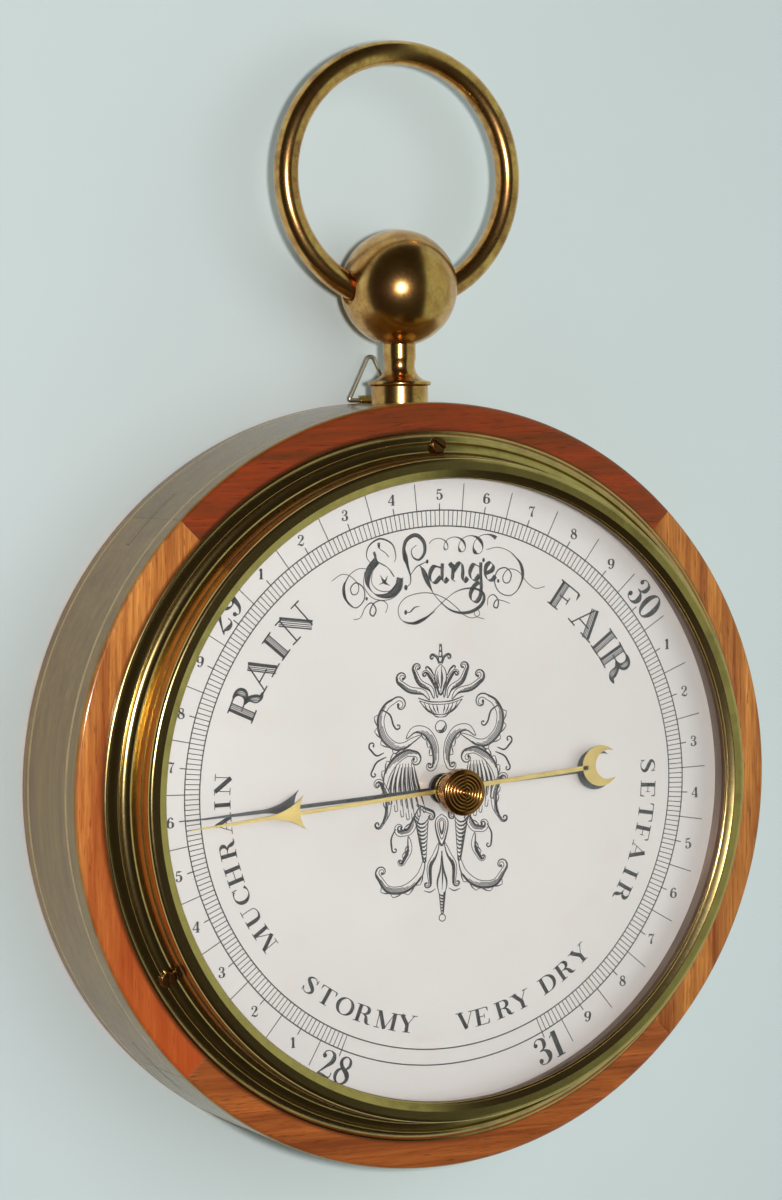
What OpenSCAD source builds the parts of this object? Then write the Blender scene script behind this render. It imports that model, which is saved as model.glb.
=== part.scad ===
// Round wall aneroid barometer in a jointed hardwood drum with a pocket-watch pendant and bow.
// Origin: centre of the drum's back face. +X right, +Y into the wall, +Z up. Millimetres.
// Coaxial parts are drawn facing up (x right, y up, z out from the wall) inside face().

/* [Drum] */
// Outside diameter of the wooden drum
case_dia = 250; // [220:1:270]
// Depth of the drum from the wall to its front face
case_depth = 47.5; // [46:0.5:60]
// Rounding of the drum's front and back edges
edge_round = 1.5; // [1:0.1:2.5]
// Width of each pale inlay line round the side
inlay_w = 1.5; // [1:0.1:2.5]
// Thickness of the back panel
panel_t = 5; // [4:0.5:6]

/* [Bezel and dial] */
// Width of the wood that shows round the brass bezel
bezel_margin = 10; // [7:0.5:14]
// Height of the dial face above the drum's front face
dial_rise = 4.1; // [3.8:0.1:5]
// Free space between the dial and the glass
glass_gap = 7.1; // [7:0.1:9]
// Thickness of the flat glass
glass_t = 2; // [1.6:0.1:3]
// Shank diameter of the bezel screws
bezel_screw_d = 2.6; // [2:0.1:3]

/* [Hands and set knob] */
// Pressure at which the indicator stands, in inches of mercury
reading = 28.6; // [28:0.05:31]
// Pressure at which the set hand stands, in inches of mercury
set_reading = 28.585; // [28:0.005:31]
// Diameter of the set knob
knob_dia = 15; // [12:0.5:17]
// Diameter of the set knob's stem
stem_d = 4; // [3:0.1:4.4]

/* [Pendant and bow] */
// Diameter of the pendant ball
ball_dia = 38.4; // [36:0.2:42]
// Height of the ball's centre above the drum
ball_rise = 37.6; // [37:0.2:42]
// Radius of the bow's centre line
bow_r = 41; // [37:0.5:46]
// Thickness of the bow's rod
bow_rod = 8; // [6:0.2:8.6]
// Diameter of the stud that holds the pendant
stud_d = 6; // [5:0.5:6.5]

/* [Movement] */
// Diameter of the vacuum capsule
capsule_dia = 60; // [50:1:62]
// Radius of the chain roller on the pointer spindle
roller_r = 0.92; // [0.8:0.02:1]
// Diameter of the pointer spindle
spindle_d = 1.6; // [1.2:0.1:1.8]
// Diameter of the adjusting screw
adjuster_d = 4; // [3:0.2:5]

/* [Hidden] */
$fn = 96;
e = 0.5;

run = 0.05;
case_r = case_dia / 2;
bezel_r = case_r - bezel_margin;
bore_r = bezel_r - 17;
rebate_r = bore_r + 10;
panel_front = panel_t;
panel_screw_r = bore_r + 5;
panel_screw_angles = [for (k = [0 : 7]) 22.5 + 45 * k];
panel_screw_len = 15;
wood_head_r = 2.6;
wood_shank_r = 1.2;
face_z = case_depth;
inlay_deep = 0.8;
inlay_front_z = face_z - 8.2 - inlay_w / 2;
inlay_rear_z = 5.8 - inlay_w / 2;
spline_len = 22;
spline_t = 1.8;
spline_deep = 15;
spline_z = face_z - 26;

dial_z = face_z + dial_rise;
dial_t = 0.8;
dial_back = dial_z - dial_t;
glass_z = dial_z + glass_gap;
glass_top = glass_z + glass_t;
bezel_h = dial_rise + glass_gap + glass_t + 3.3;
cavity_r = bezel_r - 10.8;
disc_r = cavity_r - 0.2;
lip_r = bezel_r - 14.4;
bezel_screw_r = bezel_r - 3.2;
bezel_seat_h = 0.22 * bezel_h;
bezel_screw_angles = [90, 210, 330];
bezel_screw_in = 17.5;
bezel_head_h = 0.846 * bezel_screw_d;

scale_mid = 29.5;
degrees_per_inch = 104.1;
hand_tip_in = 9.9;
hand_tip_r = lip_r - hand_tip_in;
hand_barb_r = 0.566 * hand_tip_r;
hand_tail_r = 0.62 * hand_tip_r;
hand_w = 1.44;
hand_barb = 5.4;
hand_notch = 1.8;
crescent_r = 6.7;
crescent_in = 4.9;
crescent_shift = 2.9;
hand_z = dial_z + 1.2;
hand_t = 0.5;
boss_r = 5;
boss_t = 1.4;
boss_drop = 0.4;
spindle_end = 1.6;
hub_t = 0.9;
hub_drop = 0.2;
set_hand_z = glass_z - 1.8;
bush_r = stem_d / 2 + 2;
flange_r = bush_r + 1.5;
knob_r = knob_dia / 2;
knob_z = glass_top + 3.3;
knob_h = 5.5;

pend_y = -case_depth / 2;
seat_z = case_r - 0.6;
foot_r = 9.35;
foot_h = 5.6;
foot_top = case_r + foot_h;
rim_r = 10.4;
rim_t = 1.3;
neck_r = 5.35;
ball_r = ball_dia / 2;
ball_z = case_r + ball_rise;
neck_top = ball_z - 0.917 * ball_r;
neck_bend = case_r + 14.5;
pivot_x = 0.9 * ball_r;
pivot_d = 5;
bow_z = ball_z + sqrt(bow_r * bow_r - pivot_x * pivot_x);
stud_in = bore_r + 0.9;
stud_end = 8;
stud_gap = 8;
nut_h = 5;
washer_r = 7.5;
washer_t = 1.5;

wire_d = 1.5;
wire_half = 8.2;
wire_top = 14.5;
loop_r = 1.65;
wire_y = 1.7;
wire_z = case_r + 0.9;
strap_half = 4;
strap_t = 0.85;
strap_low = bore_r + 12.5;
hanger_screw_z = [strap_low + 3, strap_low + 9.5];
hanger_screw_len = 12;
hanger_head_r = 2.2;
hanger_shank_r = 1.1;
skin = 0.05;

plate_r = 62;
plate_t = 2.5;
plate_top = panel_front + plate_t;
plate_screw_r = 55;
plate_screw_angles = [30, 150, 240, 300];
top_t = 2;
top_r = 50;
top_under = dial_back - 2.2 - top_t;
pillar_r = 3;
pillar_foot_r = 2;
pillar_ring = 46;
post_screw_r = 1.2;
post_screw_len = 6;
machine_head_r = 2.6;
machine_head_h = 1.6;
pillar_angles = [90, 210, 330];
capsule_y = -14;
capsule_r = capsule_dia / 2;
bush_flange_t = 1.2;
bush_wall = 2;
capsule_z = plate_top + bush_flange_t;
capsule_h = 10.7;
capsule_top = capsule_z + capsule_h;
clamp_y = capsule_y - capsule_r - 2;
bridge_t = 8;
bridge_half = 18;
bridge_x = 15;
bridge_y = clamp_y - bridge_t / 2;
beam_h = 6;
clamp_x = 10;
clamp_len = 4.5;
leg_screw_r = 1.3;
leg_screw_len = 9.5;
machine_r = 1.4;
leaf_z = capsule_top + 6.4;
leaf_t = 1.6;
leaf_end_y = 8;
leaf_half = 15;
post_r = 1.8;
lever_z = leaf_z + leaf_t;
lever_t = 1.5;
shaft_x = 20;
shaft_r = 1.2;
bearing_y = [7, 26.2];
bearing_t = 2;
shaft_z = top_under - 3.2;
arm_lean = 7;
short_arm = 3;
arm_w = 1.4;
crank_y = 20.6;
crank_t = 1.6;
pin_r = 0.7;
link_x = shaft_x - short_arm * cos(arm_lean);
link_y = 24;
pin_z = shaft_z + short_arm * sin(arm_lean);
spindle_r = spindle_d / 2;
cock_z = leaf_z + leaf_t + 1.4;
cock_t = 1.2;
foot_gap = 0.4;
roller_z = cock_z + cock_t + 0.4;
roller_h = 2.2;
chain_z = roller_z + roller_h / 2;
long_arm = (shaft_z - chain_z) / cos(arm_lean);
chain_end = shaft_x - long_arm * sin(arm_lean) - arm_w / 2 - 0.1;
chain_y = roller_r + 0.4;
hairspring_z = roller_z + roller_h + 3.6;
hairspring_out = 6.3;
collet_r = 1.7;

// Clockwise angle of a pressure on the dial, from the top
function scale_angle(inches) = (inches - scale_mid) * degrees_per_inch;
// Points from p to q along a parabola that bulges to the left by s
function bow_points(p, q, s, n = 8) =
    let (d = q - p, left = [-d[1], d[0]] / norm(d))
    [for (i = [0 : n]) let (t = i / n) p + d * t + left * 4 * s * t * (1 - t)];
// Outline of a disc face with turned rings: height falls gently and ripples with the radius
function ringed_face(r, h, rings, depth) =
    [for (i = [0 : rings * 8]) let (t = i / (rings * 8))
        [r * (1 - t), h - depth + depth * cos(360 * rings * t) + 0.6 * t]];
function reverse(list) = [for (i = [len(list) - 1 : -1 : 0]) list[i]];
// One side of a corrugated diaphragm from the rim inwards
function diaphragm(r_out, r_in, z, waves, depth) =
    [for (i = [0 : waves * 6]) let (t = i / (waves * 6))
        [r_out + (r_in - r_out) * t, z + depth * sin(360 * waves * t)]];

module face() { rotate([90, 0, 0]) children(); }
// Cylinders along x, centred, and along y, from y0 to y1
module along_x(r, len) { rotate([0, 90, 0]) cylinder(r = r, h = len, center = true); }
module along_y(r, y0, y1) { translate([0, y0, 0]) rotate([-90, 0, 0]) cylinder(r = r, h = y1 - y0); }
module at_angle(a, r) { rotate([0, 0, a]) translate([r, 0, 0]) children(); }
module tube(r_out, r_in, h) {
    difference() {
        cylinder(r = r_out, h = h);
        translate([0, 0, -e]) cylinder(r = r_in, h = h + 2 * e);
    }
}
// Round head with a screwdriver slot, shank below it, origin under the head
module slotted_screw(head_r, head_h, shank_r, shank_len) {
    difference() {
        union() {
            cylinder(r = head_r, h = head_h * 0.6);
            translate([0, 0, head_h * 0.6]) cylinder(r1 = head_r, r2 = head_r * 0.7, h = head_h * 0.4);
            translate([0, 0, -shank_len]) cylinder(r = shank_r, h = shank_len);
        }
        translate([-head_r - e, -head_r * 0.12, head_h * 0.45])
            cube([2 * head_r + 2 * e, head_r * 0.24, head_h]);
    }
}
// Flat countersunk screw, origin at the head's flat face, shank along +z
module flat_screw(head_r, shank_r, len) {
    difference() {
        union() {
            cylinder(r1 = head_r, r2 = shank_r, h = head_r - shank_r);
            cylinder(r = shank_r, h = len);
        }
        translate([-head_r - e, -head_r * 0.12, -e]) cube([2 * head_r + 2 * e, head_r * 0.24, e + 0.5]);
    }
}
module flat_screw_hole(head_r, shank_r, len) {
    cylinder(r1 = head_r, r2 = shank_r, h = head_r - shank_r);
    translate([0, 0, -e]) cylinder(r = shank_r, h = len + e);
}

// Section of the wooden drum: rounded outer edges, rebate for the panel, two inlay grooves
module drum_section() {
    difference() {
        union() {
            translate([bore_r, 0]) square([case_r - edge_round - bore_r, case_depth]);
            translate([bore_r, edge_round]) square([case_r - bore_r, case_depth - 2 * edge_round]);
            for (z = [edge_round, case_depth - edge_round])
                translate([case_r - edge_round, z]) circle(r = edge_round);
        }
        translate([bore_r - e, -e]) square([rebate_r - bore_r + e, panel_front + e]);
        for (z = [inlay_front_z, inlay_rear_z])
            translate([case_r - inlay_deep, z]) square([inlay_deep + e, inlay_w]);
    }
}
module spline_slot() {
    translate([case_r - spline_deep, -spline_len / 2, spline_z - spline_t / 2])
        cube([spline_deep + e, spline_len, spline_t]);
}
module case_segment(from) {
    difference() {
        rotate([0, 0, from]) rotate_extrude(angle = 90) drum_section();
        for (a = [from, from + 90]) rotate([0, 0, a]) spline_slot();
        for (a = bezel_screw_angles) at_angle(a, bezel_screw_r) translate([0, 0, face_z - bezel_screw_in])
            cylinder(d = bezel_screw_d, h = bezel_screw_in + e);
        for (a = panel_screw_angles) at_angle(a, panel_screw_r)
            cylinder(r = wood_shank_r, h = panel_screw_len);
    }
}
module case_segment_top() {
    color([0.47, 0.17, 0.06]) difference() {
        face() case_segment(45);
        translate([0, pend_y, bore_r - e]) cylinder(d = stud_d, h = case_r - bore_r + 2 * e);
        translate([0, pend_y, seat_z]) cylinder(r = foot_r + run, h = 5);
        translate([0, pend_y, bore_r - 4]) cylinder(r = washer_r + 0.5, h = stud_in - bore_r + 4);
        translate([-strap_half - run, -strap_t - skin, strap_low - run])
            cube([2 * (strap_half + run), strap_t + skin + e, case_r]);
        translate([-strap_half - 0.2, -wire_y - loop_r - 0.2, wire_z - loop_r - 0.2])
            cube([2 * strap_half + 0.4, wire_y + loop_r + 0.2 + e, 10]);
        for (z = hanger_screw_z) translate([0, -skin, z]) rotate([90, 0, 0])
            flat_screw_hole(hanger_head_r, hanger_shank_r, hanger_screw_len);
    }
}
module case_segment_right() { color([0.67, 0.33, 0.12]) face() case_segment(-45); }
module case_segment_bottom() { color([0.60, 0.26, 0.10]) face() case_segment(225); }
module case_segment_left() { color([0.70, 0.38, 0.15]) face() case_segment(135); }
module case_splines() {
    color([0.55, 0.40, 0.26]) face() for (a = [45 : 90 : 315]) rotate([0, 0, a]) intersection() {
        spline_slot();
        cylinder(r = case_r, h = case_depth);
    }
}
module inlay(z) {
    color([0.86, 0.78, 0.62]) face() translate([0, 0, z]) tube(case_r, case_r - inlay_deep, inlay_w);
}
module inlay_front() { inlay(inlay_front_z); }
module inlay_rear() { inlay(inlay_rear_z); }
module back_panel() {
    color([0.45, 0.30, 0.18]) face() difference() {
        cylinder(r = rebate_r - 0.2, h = panel_t);
        translate([0, capsule_y, -e]) cylinder(r = adjuster_d / 2 + 3, h = panel_t + 2 * e);
        for (a = panel_screw_angles) at_angle(a, panel_screw_r)
            flat_screw_hole(wood_head_r, wood_shank_r, panel_screw_len);
        for (a = plate_screw_angles) at_angle(a, plate_screw_r) translate([0, 0, 1])
            cylinder(r = machine_r, h = panel_t);
    }
}
module back_panel_screws() {
    color([0.75, 0.62, 0.30]) face() for (a = panel_screw_angles) at_angle(a, panel_screw_r)
        flat_screw(wood_head_r, wood_shank_r, panel_screw_len);
}

// Triangular wire hanger in a folded strap on the back of the drum
module hanger_strap() {
    color([0.70, 0.58, 0.30]) difference() {
        union() {
            translate([-strap_half, -strap_t - skin, strap_low])
                cube([2 * strap_half, strap_t, wire_z - strap_low]);
            translate([0, -wire_y, wire_z]) along_x(loop_r, 2 * strap_half);
        }
        translate([0, -wire_y, wire_z]) along_x(wire_d / 2 + run, 2 * strap_half + 2 * e);
        for (z = hanger_screw_z) translate([0, -skin, z]) rotate([90, 0, 0])
            flat_screw_hole(hanger_head_r, hanger_shank_r, hanger_screw_len);
    }
}
module hanger_screws() {
    color([0.72, 0.60, 0.32]) for (z = hanger_screw_z)
        translate([0, -skin, z]) rotate([90, 0, 0])
            flat_screw(hanger_head_r, hanger_shank_r, hanger_screw_len);
}
module rod_between(p, q, d) {
    v = q - p;
    translate(p) rotate([0, acos(v[2] / norm(v)), atan2(v[1], v[0])]) cylinder(d = d, h = norm(v));
}
module hanger_wire() {
    corners = [[-wire_half, -wire_y, wire_z], [-1, -wire_y, wire_z + wire_top],
               [1, -wire_y, wire_z + wire_top], [wire_half, -wire_y, wire_z]];
    color([0.72, 0.66, 0.50]) {
        for (i = [0 : 3]) rod_between(corners[i], corners[(i + 1) % 4], wire_d);
        for (c = corners) translate(c) sphere(d = wire_d);
    }
}

// Bezel: rounded foot, ovolo, grooved band, beaded peak, cove and rolled lip over the glass
module bezel_section() {
    s = bezel_h / 16.5;
    lip_h = bezel_h - 1.3;
    grooves = [for (i = [0 : 24]) let (t = i / 24)
        [bezel_r - 5.3 - 1.95 * t + 0.16 * cos(1080 * t), s * (10.2 + 5.7 * t)]];
    polygon(concat(
        [[cavity_r, 0], [bezel_r, 0]],
        bow_points([bezel_r, 0.5], [bezel_r - 0.5, 1], -0.1, 3),
        bow_points([bezel_r - 0.6, 1], [bezel_r - 3.6, 4.9 * s], -0.75, 10),
        bow_points([bezel_r - 3.7, 4.9 * s], [bezel_r - 4.4, 8 * s], 0.2, 5),
        bow_points([bezel_r - 4.4, 8.2 * s], [bezel_r - 5.1, 10.1 * s], -0.35, 5),
        grooves,
        bow_points([bezel_r - 7.25, bezel_h - 0.5], [bezel_r - 8.0, bezel_h - 0.25], -0.3, 5),
        bow_points([bezel_r - 8.1, bezel_h - 0.4], [bezel_r - 12.1, lip_h - 0.6], 0.42, 10),
        bow_points([bezel_r - 12.2, lip_h - 0.5], [bezel_r - 13.0, lip_h], -0.16, 4),
        bow_points([bezel_r - 13.6, lip_h], [lip_r, lip_h - 0.8], -0.2, 5),
        [[lip_r, glass_top - face_z], [cavity_r, glass_top - face_z]]
    ));
}
module bezel_hollow() {
    s = bezel_h / 16.5;
    polygon([[cavity_r + 1.6, -e], [bezel_r - 3.2, -e], [bezel_r - 3.2, 1.6 * s], [bezel_r - 6.4, 4.8 * s],
             [bezel_r - 7.6, 12.4 * s], [cavity_r + 1.6, 12.4 * s]]);
}
module bezel() {
    color([0.72, 0.58, 0.24]) face() translate([0, 0, face_z]) difference() {
        rotate_extrude() bezel_section();
        difference() {
            rotate_extrude() bezel_hollow();
            for (a = bezel_screw_angles) at_angle(a, bezel_screw_r) translate([0, 0, -2 * e])
                cylinder(r = bezel_screw_d + 0.6, h = 6);
        }
        for (a = bezel_screw_angles) at_angle(a, bezel_screw_r) {
            translate([0, 0, -e]) cylinder(d = bezel_screw_d, h = 12);
            translate([0, 0, bezel_seat_h]) cylinder(r = bezel_screw_d + 0.1, h = bezel_h);
        }
    }
}
module bezel_screws() {
    color([0.62, 0.48, 0.22]) face() for (a = bezel_screw_angles) at_angle(a, bezel_screw_r)
        translate([0, 0, face_z + bezel_seat_h]) rotate([0, 0, 35])
            slotted_screw(bezel_screw_d, bezel_head_h, bezel_screw_d / 2, bezel_seat_h + bezel_screw_in);
}
module dial_seat_ring() {
    color([0.66, 0.54, 0.26]) face() translate([0, 0, face_z]) tube(disc_r, bore_r + 1, dial_back - face_z);
}
module dial() {
    color([0.88, 0.87, 0.84]) face() translate([0, 0, dial_back]) tube(disc_r, 3, dial_t);
}
module sight_ring() {
    color([0.74, 0.68, 0.56]) face() translate([0, 0, dial_z]) rotate_extrude()
        polygon([[disc_r - 1.1, 0], [disc_r, 0], [disc_r, glass_gap], [lip_r + 1.2, glass_gap],
                 [lip_r + 1.2, glass_gap - 0.7]]);
}
module glass() {
    color([0.85, 0.92, 0.93, 0.35]) face() translate([0, 0, glass_z]) tube(disc_r, bush_r + run, glass_t);
}
module glass_bush() {
    color([0.74, 0.60, 0.28]) face() translate([0, 0, glass_z - 1]) difference() {
        union() {
            cylinder(r = bush_r, h = glass_t + 1.8);
            translate([0, 0, glass_t + 1]) cylinder(r = flange_r, h = 0.8);
        }
        translate([0, 0, -e]) cylinder(d = stem_d + 2 * run, h = glass_t + 3);
    }
}
module bush_nut() {
    color([0.70, 0.56, 0.26]) face() translate([0, 0, glass_z - 0.9]) tube(flange_r, bush_r, 0.9);
}

// A hand pointing up: needle point, swallow-tailed arrow, shaft, boss and crescent tail
module hand_outline() {
    half_shaft = hand_w / 2;
    neck_at = hand_barb_r + 2.8 * hand_barb;
    notch_at = hand_barb_r + hand_notch;
    right = concat(
        [[0.2 * half_shaft, hand_tip_r], [0.86 * half_shaft, neck_at]],
        bow_points([0.86 * half_shaft, neck_at], [hand_barb, hand_barb_r], -0.28 * hand_barb, 10),
        bow_points([hand_barb, hand_barb_r], [0.8 * half_shaft, notch_at], -0.08 * hand_barb, 4),
        [[half_shaft, 0], [half_shaft, crescent_in - hand_tail_r]]);
    left = [for (p = reverse(right)) [-p[0], p[1]]];
    polygon(concat(right, left));
    circle(r = boss_r - 0.8);
    difference() {
        translate([0, -hand_tail_r]) circle(r = crescent_r);
        translate([0, -hand_tail_r - crescent_shift]) circle(r = crescent_in);
        translate([-crescent_r - e, -hand_tail_r - 2 * crescent_r])
            square([2 * (crescent_r + e), 1.2 * crescent_r]);
    }
}
module indicator_hand() {
    color([0.16, 0.15, 0.16]) face() rotate([0, 0, -scale_angle(reading)]) difference() {
        union() {
            translate([0, 0, hand_z]) linear_extrude(hand_t) hand_outline();
            translate([0, 0, hand_z - boss_drop]) cylinder(r = boss_r, h = boss_t);
        }
        translate([0, 0, hand_z - boss_drop - e]) cylinder(r = spindle_r, h = boss_t + 2 * e);
    }
}
module set_hand() {
    color([0.66, 0.58, 0.24]) face() rotate([0, 0, -scale_angle(set_reading)]) difference() {
        union() {
            translate([0, 0, set_hand_z]) linear_extrude(hand_t) hand_outline();
            translate([0, 0, set_hand_z - hub_drop]) cylinder(r = boss_r, h = hub_t);
        }
        translate([0, 0, set_hand_z - hub_drop - e]) cylinder(r = stem_d / 2, h = hub_t + 2 * e);
    }
}
module set_knob() {
    color([0.72, 0.52, 0.22]) face() union() {
        translate([0, 0, set_hand_z - hub_drop]) cylinder(d = stem_d, h = knob_z - set_hand_z + 1);
        translate([0, 0, glass_top + 0.9]) cylinder(r = 3.2, h = knob_z - glass_top);
        translate([0, 0, knob_z]) rotate_extrude() polygon(concat(
            [[0, 0]],
            bow_points([knob_r - 1.4, 0], [knob_r - 0.1, 1.2], -0.3, 4),
            [[knob_r, 1.5], [knob_r, knob_h - 1.2]],
            bow_points([knob_r, knob_h - 1.2], [knob_r - 0.9, knob_h - 0.2], -0.25, 4),
            ringed_face(knob_r - 1, knob_h - 0.2, 6, 0.16)));
    }
}
module pointer_spindle() {
    color([0.70, 0.66, 0.55]) face() union() {
        translate([0, 0, cock_z + foot_gap]) cylinder(r = spindle_r, h = hand_z + spindle_end - cock_z);
        for (z = [roller_z, roller_z + roller_h - 0.4]) translate([0, 0, z]) cylinder(r = 1.8, h = 0.4);
        translate([0, 0, roller_z]) cylinder(r = roller_r, h = roller_h);
        translate([0, 0, hairspring_z - 0.4]) cylinder(r = collet_r, h = 1.8);
    }
}

// Pendant: turned foot, flared neck and ball held by one stud; the bow turns in the ball
module pendant_foot() {
    color([0.80, 0.66, 0.36]) translate([0, pend_y, seat_z])
        tube(foot_r, stud_d / 2 + run, foot_top - seat_z);
}
module pendant_neck() {
    color([0.78, 0.62, 0.32]) translate([0, pend_y, 0]) rotate_extrude() polygon(concat(
        [[stud_d / 2 + run, foot_top], [rim_r - 0.3, foot_top]],
        bow_points([rim_r - 0.2, foot_top + 0.1], [rim_r - 0.2, foot_top + rim_t], -0.2, 4),
        bow_points([rim_r - 0.9, foot_top + rim_t + 0.1], [neck_r, neck_bend], 2.1, 10),
        [[neck_r, neck_top], [stud_d / 2 + run, neck_top]]));
}
module pendant_ball() {
    color([0.80, 0.62, 0.30]) translate([0, pend_y, ball_z]) difference() {
        sphere(r = ball_r);
        translate([0, 0, neck_top - ball_z - 10]) cylinder(r = neck_r + run, h = 10);
        translate([0, 0, -ball_r - e]) cylinder(d = stud_d, h = ball_r - stud_gap + e);
        along_x(pivot_d / 2 + run, 2 * ball_r);
        for (s = [-1, 1]) translate([s * (pivot_x + 5), 0, 0]) along_x(bow_rod / 2 + 1.6, 10);
    }
}
module pendant_stud() {
    color([0.70, 0.60, 0.34]) translate([0, pend_y, stud_in - stud_end])
        cylinder(d = stud_d, h = ball_z - stud_gap - stud_in + stud_end);
}
module pendant_washer() {
    color([0.72, 0.60, 0.32]) translate([0, pend_y, stud_in - washer_t]) tube(washer_r, stud_d / 2, washer_t);
}
module pendant_nut() {
    color([0.66, 0.54, 0.28]) translate([0, pend_y, stud_in - washer_t - nut_h]) difference() {
        cylinder(r = 5.8, h = nut_h, $fn = 6);
        translate([0, 0, -e]) cylinder(d = stud_d, h = nut_h + 2 * e);
    }
}
module bow() {
    cut = pivot_x + 0.15;
    pin_in = 9.1;
    pin_len = pin_in + 1.2;
    color([0.78, 0.56, 0.28]) translate([0, pend_y, 0]) union() {
        difference() {
            translate([0, 0, bow_z]) rotate([90, 0, 0]) rotate_extrude()
                translate([bow_r, 0]) circle(d = bow_rod);
            translate([-cut, -bow_rod, bow_z - 2 * bow_r]) cube([2 * cut, 2 * bow_rod, 2 * bow_r]);
        }
        for (s = [-1, 1]) translate([s * (pivot_x - pin_in + pin_len / 2), 0, ball_z])
            along_x(pivot_d / 2, pin_len);
    }
}

// Movement
module base_plate() {
    color([0.72, 0.62, 0.36]) face() difference() {
        translate([0, 0, panel_front]) cylinder(r = plate_r, h = plate_t);
        translate([0, capsule_y, 0]) cylinder(r = adjuster_d / 2 + bush_wall, h = plate_top + e);
        for (a = plate_screw_angles) at_angle(a, plate_screw_r) cylinder(r = machine_r, h = plate_top + e);
        for (a = pillar_angles) at_angle(a, pillar_ring) cylinder(r = pillar_foot_r, h = plate_top + e);
        for (s = [-1, 1]) translate([s * bridge_x, bridge_y, panel_front])
            flat_screw_hole(wood_head_r, leg_screw_r, plate_t + e);
        for (a = [0, 90, 180]) at_angle(a, 0.65 * plate_r) cylinder(r = 0.145 * plate_r, h = plate_top + e);
    }
}
module plate_screws() {
    color([0.62, 0.58, 0.50]) face() for (a = plate_screw_angles) at_angle(a, plate_screw_r)
        translate([0, 0, plate_top]) slotted_screw(machine_head_r, machine_head_h, machine_r, plate_top - 1);
}
module pillars() {
    color([0.74, 0.62, 0.34]) face() for (a = pillar_angles) at_angle(a, pillar_ring) difference() {
        union() {
            translate([0, 0, plate_top]) cylinder(r = pillar_r, h = top_under - plate_top);
            translate([0, 0, plate_top]) cylinder(r = pillar_r + 1, h = pillar_r / 2);
            translate([0, 0, panel_front]) cylinder(r = pillar_foot_r, h = plate_t);
        }
        translate([0, 0, top_under - post_screw_len - 1])
            cylinder(r = post_screw_r, h = post_screw_len + 1 + e);
    }
}
module top_plate() {
    color([0.74, 0.64, 0.38]) face() difference() {
        translate([0, 0, top_under]) cylinder(r = top_r, h = top_t);
        translate([0, 0, top_under - e]) cylinder(r = spindle_r + run, h = top_t + 2 * e);
        for (a = pillar_angles) at_angle(a, pillar_ring) translate([0, 0, top_under - e])
            cylinder(r = post_screw_r, h = top_t + 2 * e);
        for (a = [150, 210, 270, 330]) at_angle(a, 0.6 * top_r) translate([0, 0, top_under - e])
            cylinder(r = 0.24 * top_r, h = top_t + 2 * e);
    }
}
module top_plate_screws() {
    color([0.60, 0.56, 0.50]) face() for (a = pillar_angles) at_angle(a, pillar_ring)
        translate([0, 0, top_under + top_t])
            slotted_screw(machine_head_r, machine_head_h, post_screw_r, top_t + post_screw_len);
}
module spindle_cock() {
    color([0.72, 0.60, 0.32]) face() difference() {
        union() {
            translate([-11, -3, cock_z]) cube([2, 6, top_under - cock_z]);
            translate([-11, -3, cock_z]) cube([11, 6, cock_t]);
            translate([0, 0, cock_z]) cylinder(r = 3, h = cock_t);
        }
        translate([0, 0, cock_z + foot_gap]) cylinder(r = spindle_r + run, h = cock_t);
    }
}
// Flat spiral strip wound out from the collet
module hairspring() {
    turns = 5;
    steps = turns * 20;
    half = 0.12;
    r_in = collet_r + half + 0.03;
    r_end = hairspring_out - half;
    function coil(side) = [for (i = [0 : steps]) let (t = i / steps, a = 360 * turns * t)
        (r_in + (r_end - r_in) * t + side * half) * [cos(a), sin(a)]];
    color([0.35, 0.42, 0.55]) face() translate([0, 0, hairspring_z]) linear_extrude(1)
        polygon(concat(coil(-1), reverse(coil(1))));
}
module hairspring_stud() {
    color([0.70, 0.60, 0.34]) face() translate([hairspring_out + 0.9, 0, hairspring_z - 0.4])
        cylinder(r = 0.9, h = top_under - hairspring_z + 0.4);
}
module shaft_bearings() {
    color([0.70, 0.58, 0.30]) face() for (y = bearing_y) difference() {
        translate([shaft_x - 3.5, y, shaft_z - 2.8]) cube([7, bearing_t, top_under - shaft_z + 2.8]);
        translate([shaft_x, y, shaft_z]) along_y(shaft_r + run, -e, bearing_t + e);
    }
}
// Shaft with a long arm that pulls the chain and a short crank that the link pushes
module rocking_shaft() {
    boss_r = 2.1;
    crank_end = crank_y + crank_t;
    color([0.62, 0.60, 0.56]) face() translate([shaft_x, 0, shaft_z]) rotate([0, arm_lean, 0]) difference() {
        union() {
            along_y(shaft_r, -0.3, 29);
            along_y(boss_r, roller_r - 1, roller_r + 1);
            translate([-arm_w / 2, roller_r - arm_w / 2, -long_arm - 1.2])
                cube([arm_w, arm_w, long_arm + 1.2]);
            along_y(boss_r, crank_y, crank_end);
            translate([-short_arm, crank_y, -shaft_r]) cube([short_arm, crank_t, 2 * shaft_r]);
            translate([-short_arm, 0, 0]) along_y(shaft_r, crank_y, crank_end);
            translate([-short_arm, 0, 0]) along_y(pin_r, crank_end, crank_end + 2.8);
        }
        translate([0, roller_r, -long_arm]) along_x(0.35, 4);
    }
}
module connecting_link() {
    collar_r = 1.6;
    collar_t = 0.7;
    color([0.66, 0.62, 0.55]) face() translate([link_x, link_y, 0]) difference() {
        union() {
            translate([0, 0, lever_z - collar_t - 0.2]) cylinder(r = pin_r, h = pin_z - lever_z);
            for (z = [lever_z - collar_t - 0.2, lever_z + lever_t + 0.2]) translate([0, 0, z])
                cylinder(r = collar_r, h = collar_t);
            translate([0, 0, pin_z]) along_y(1.7, -0.6, 0.6);
        }
        translate([0, 0, pin_z]) along_y(pin_r + 2 * run, -1, 1);
    }
}
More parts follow.
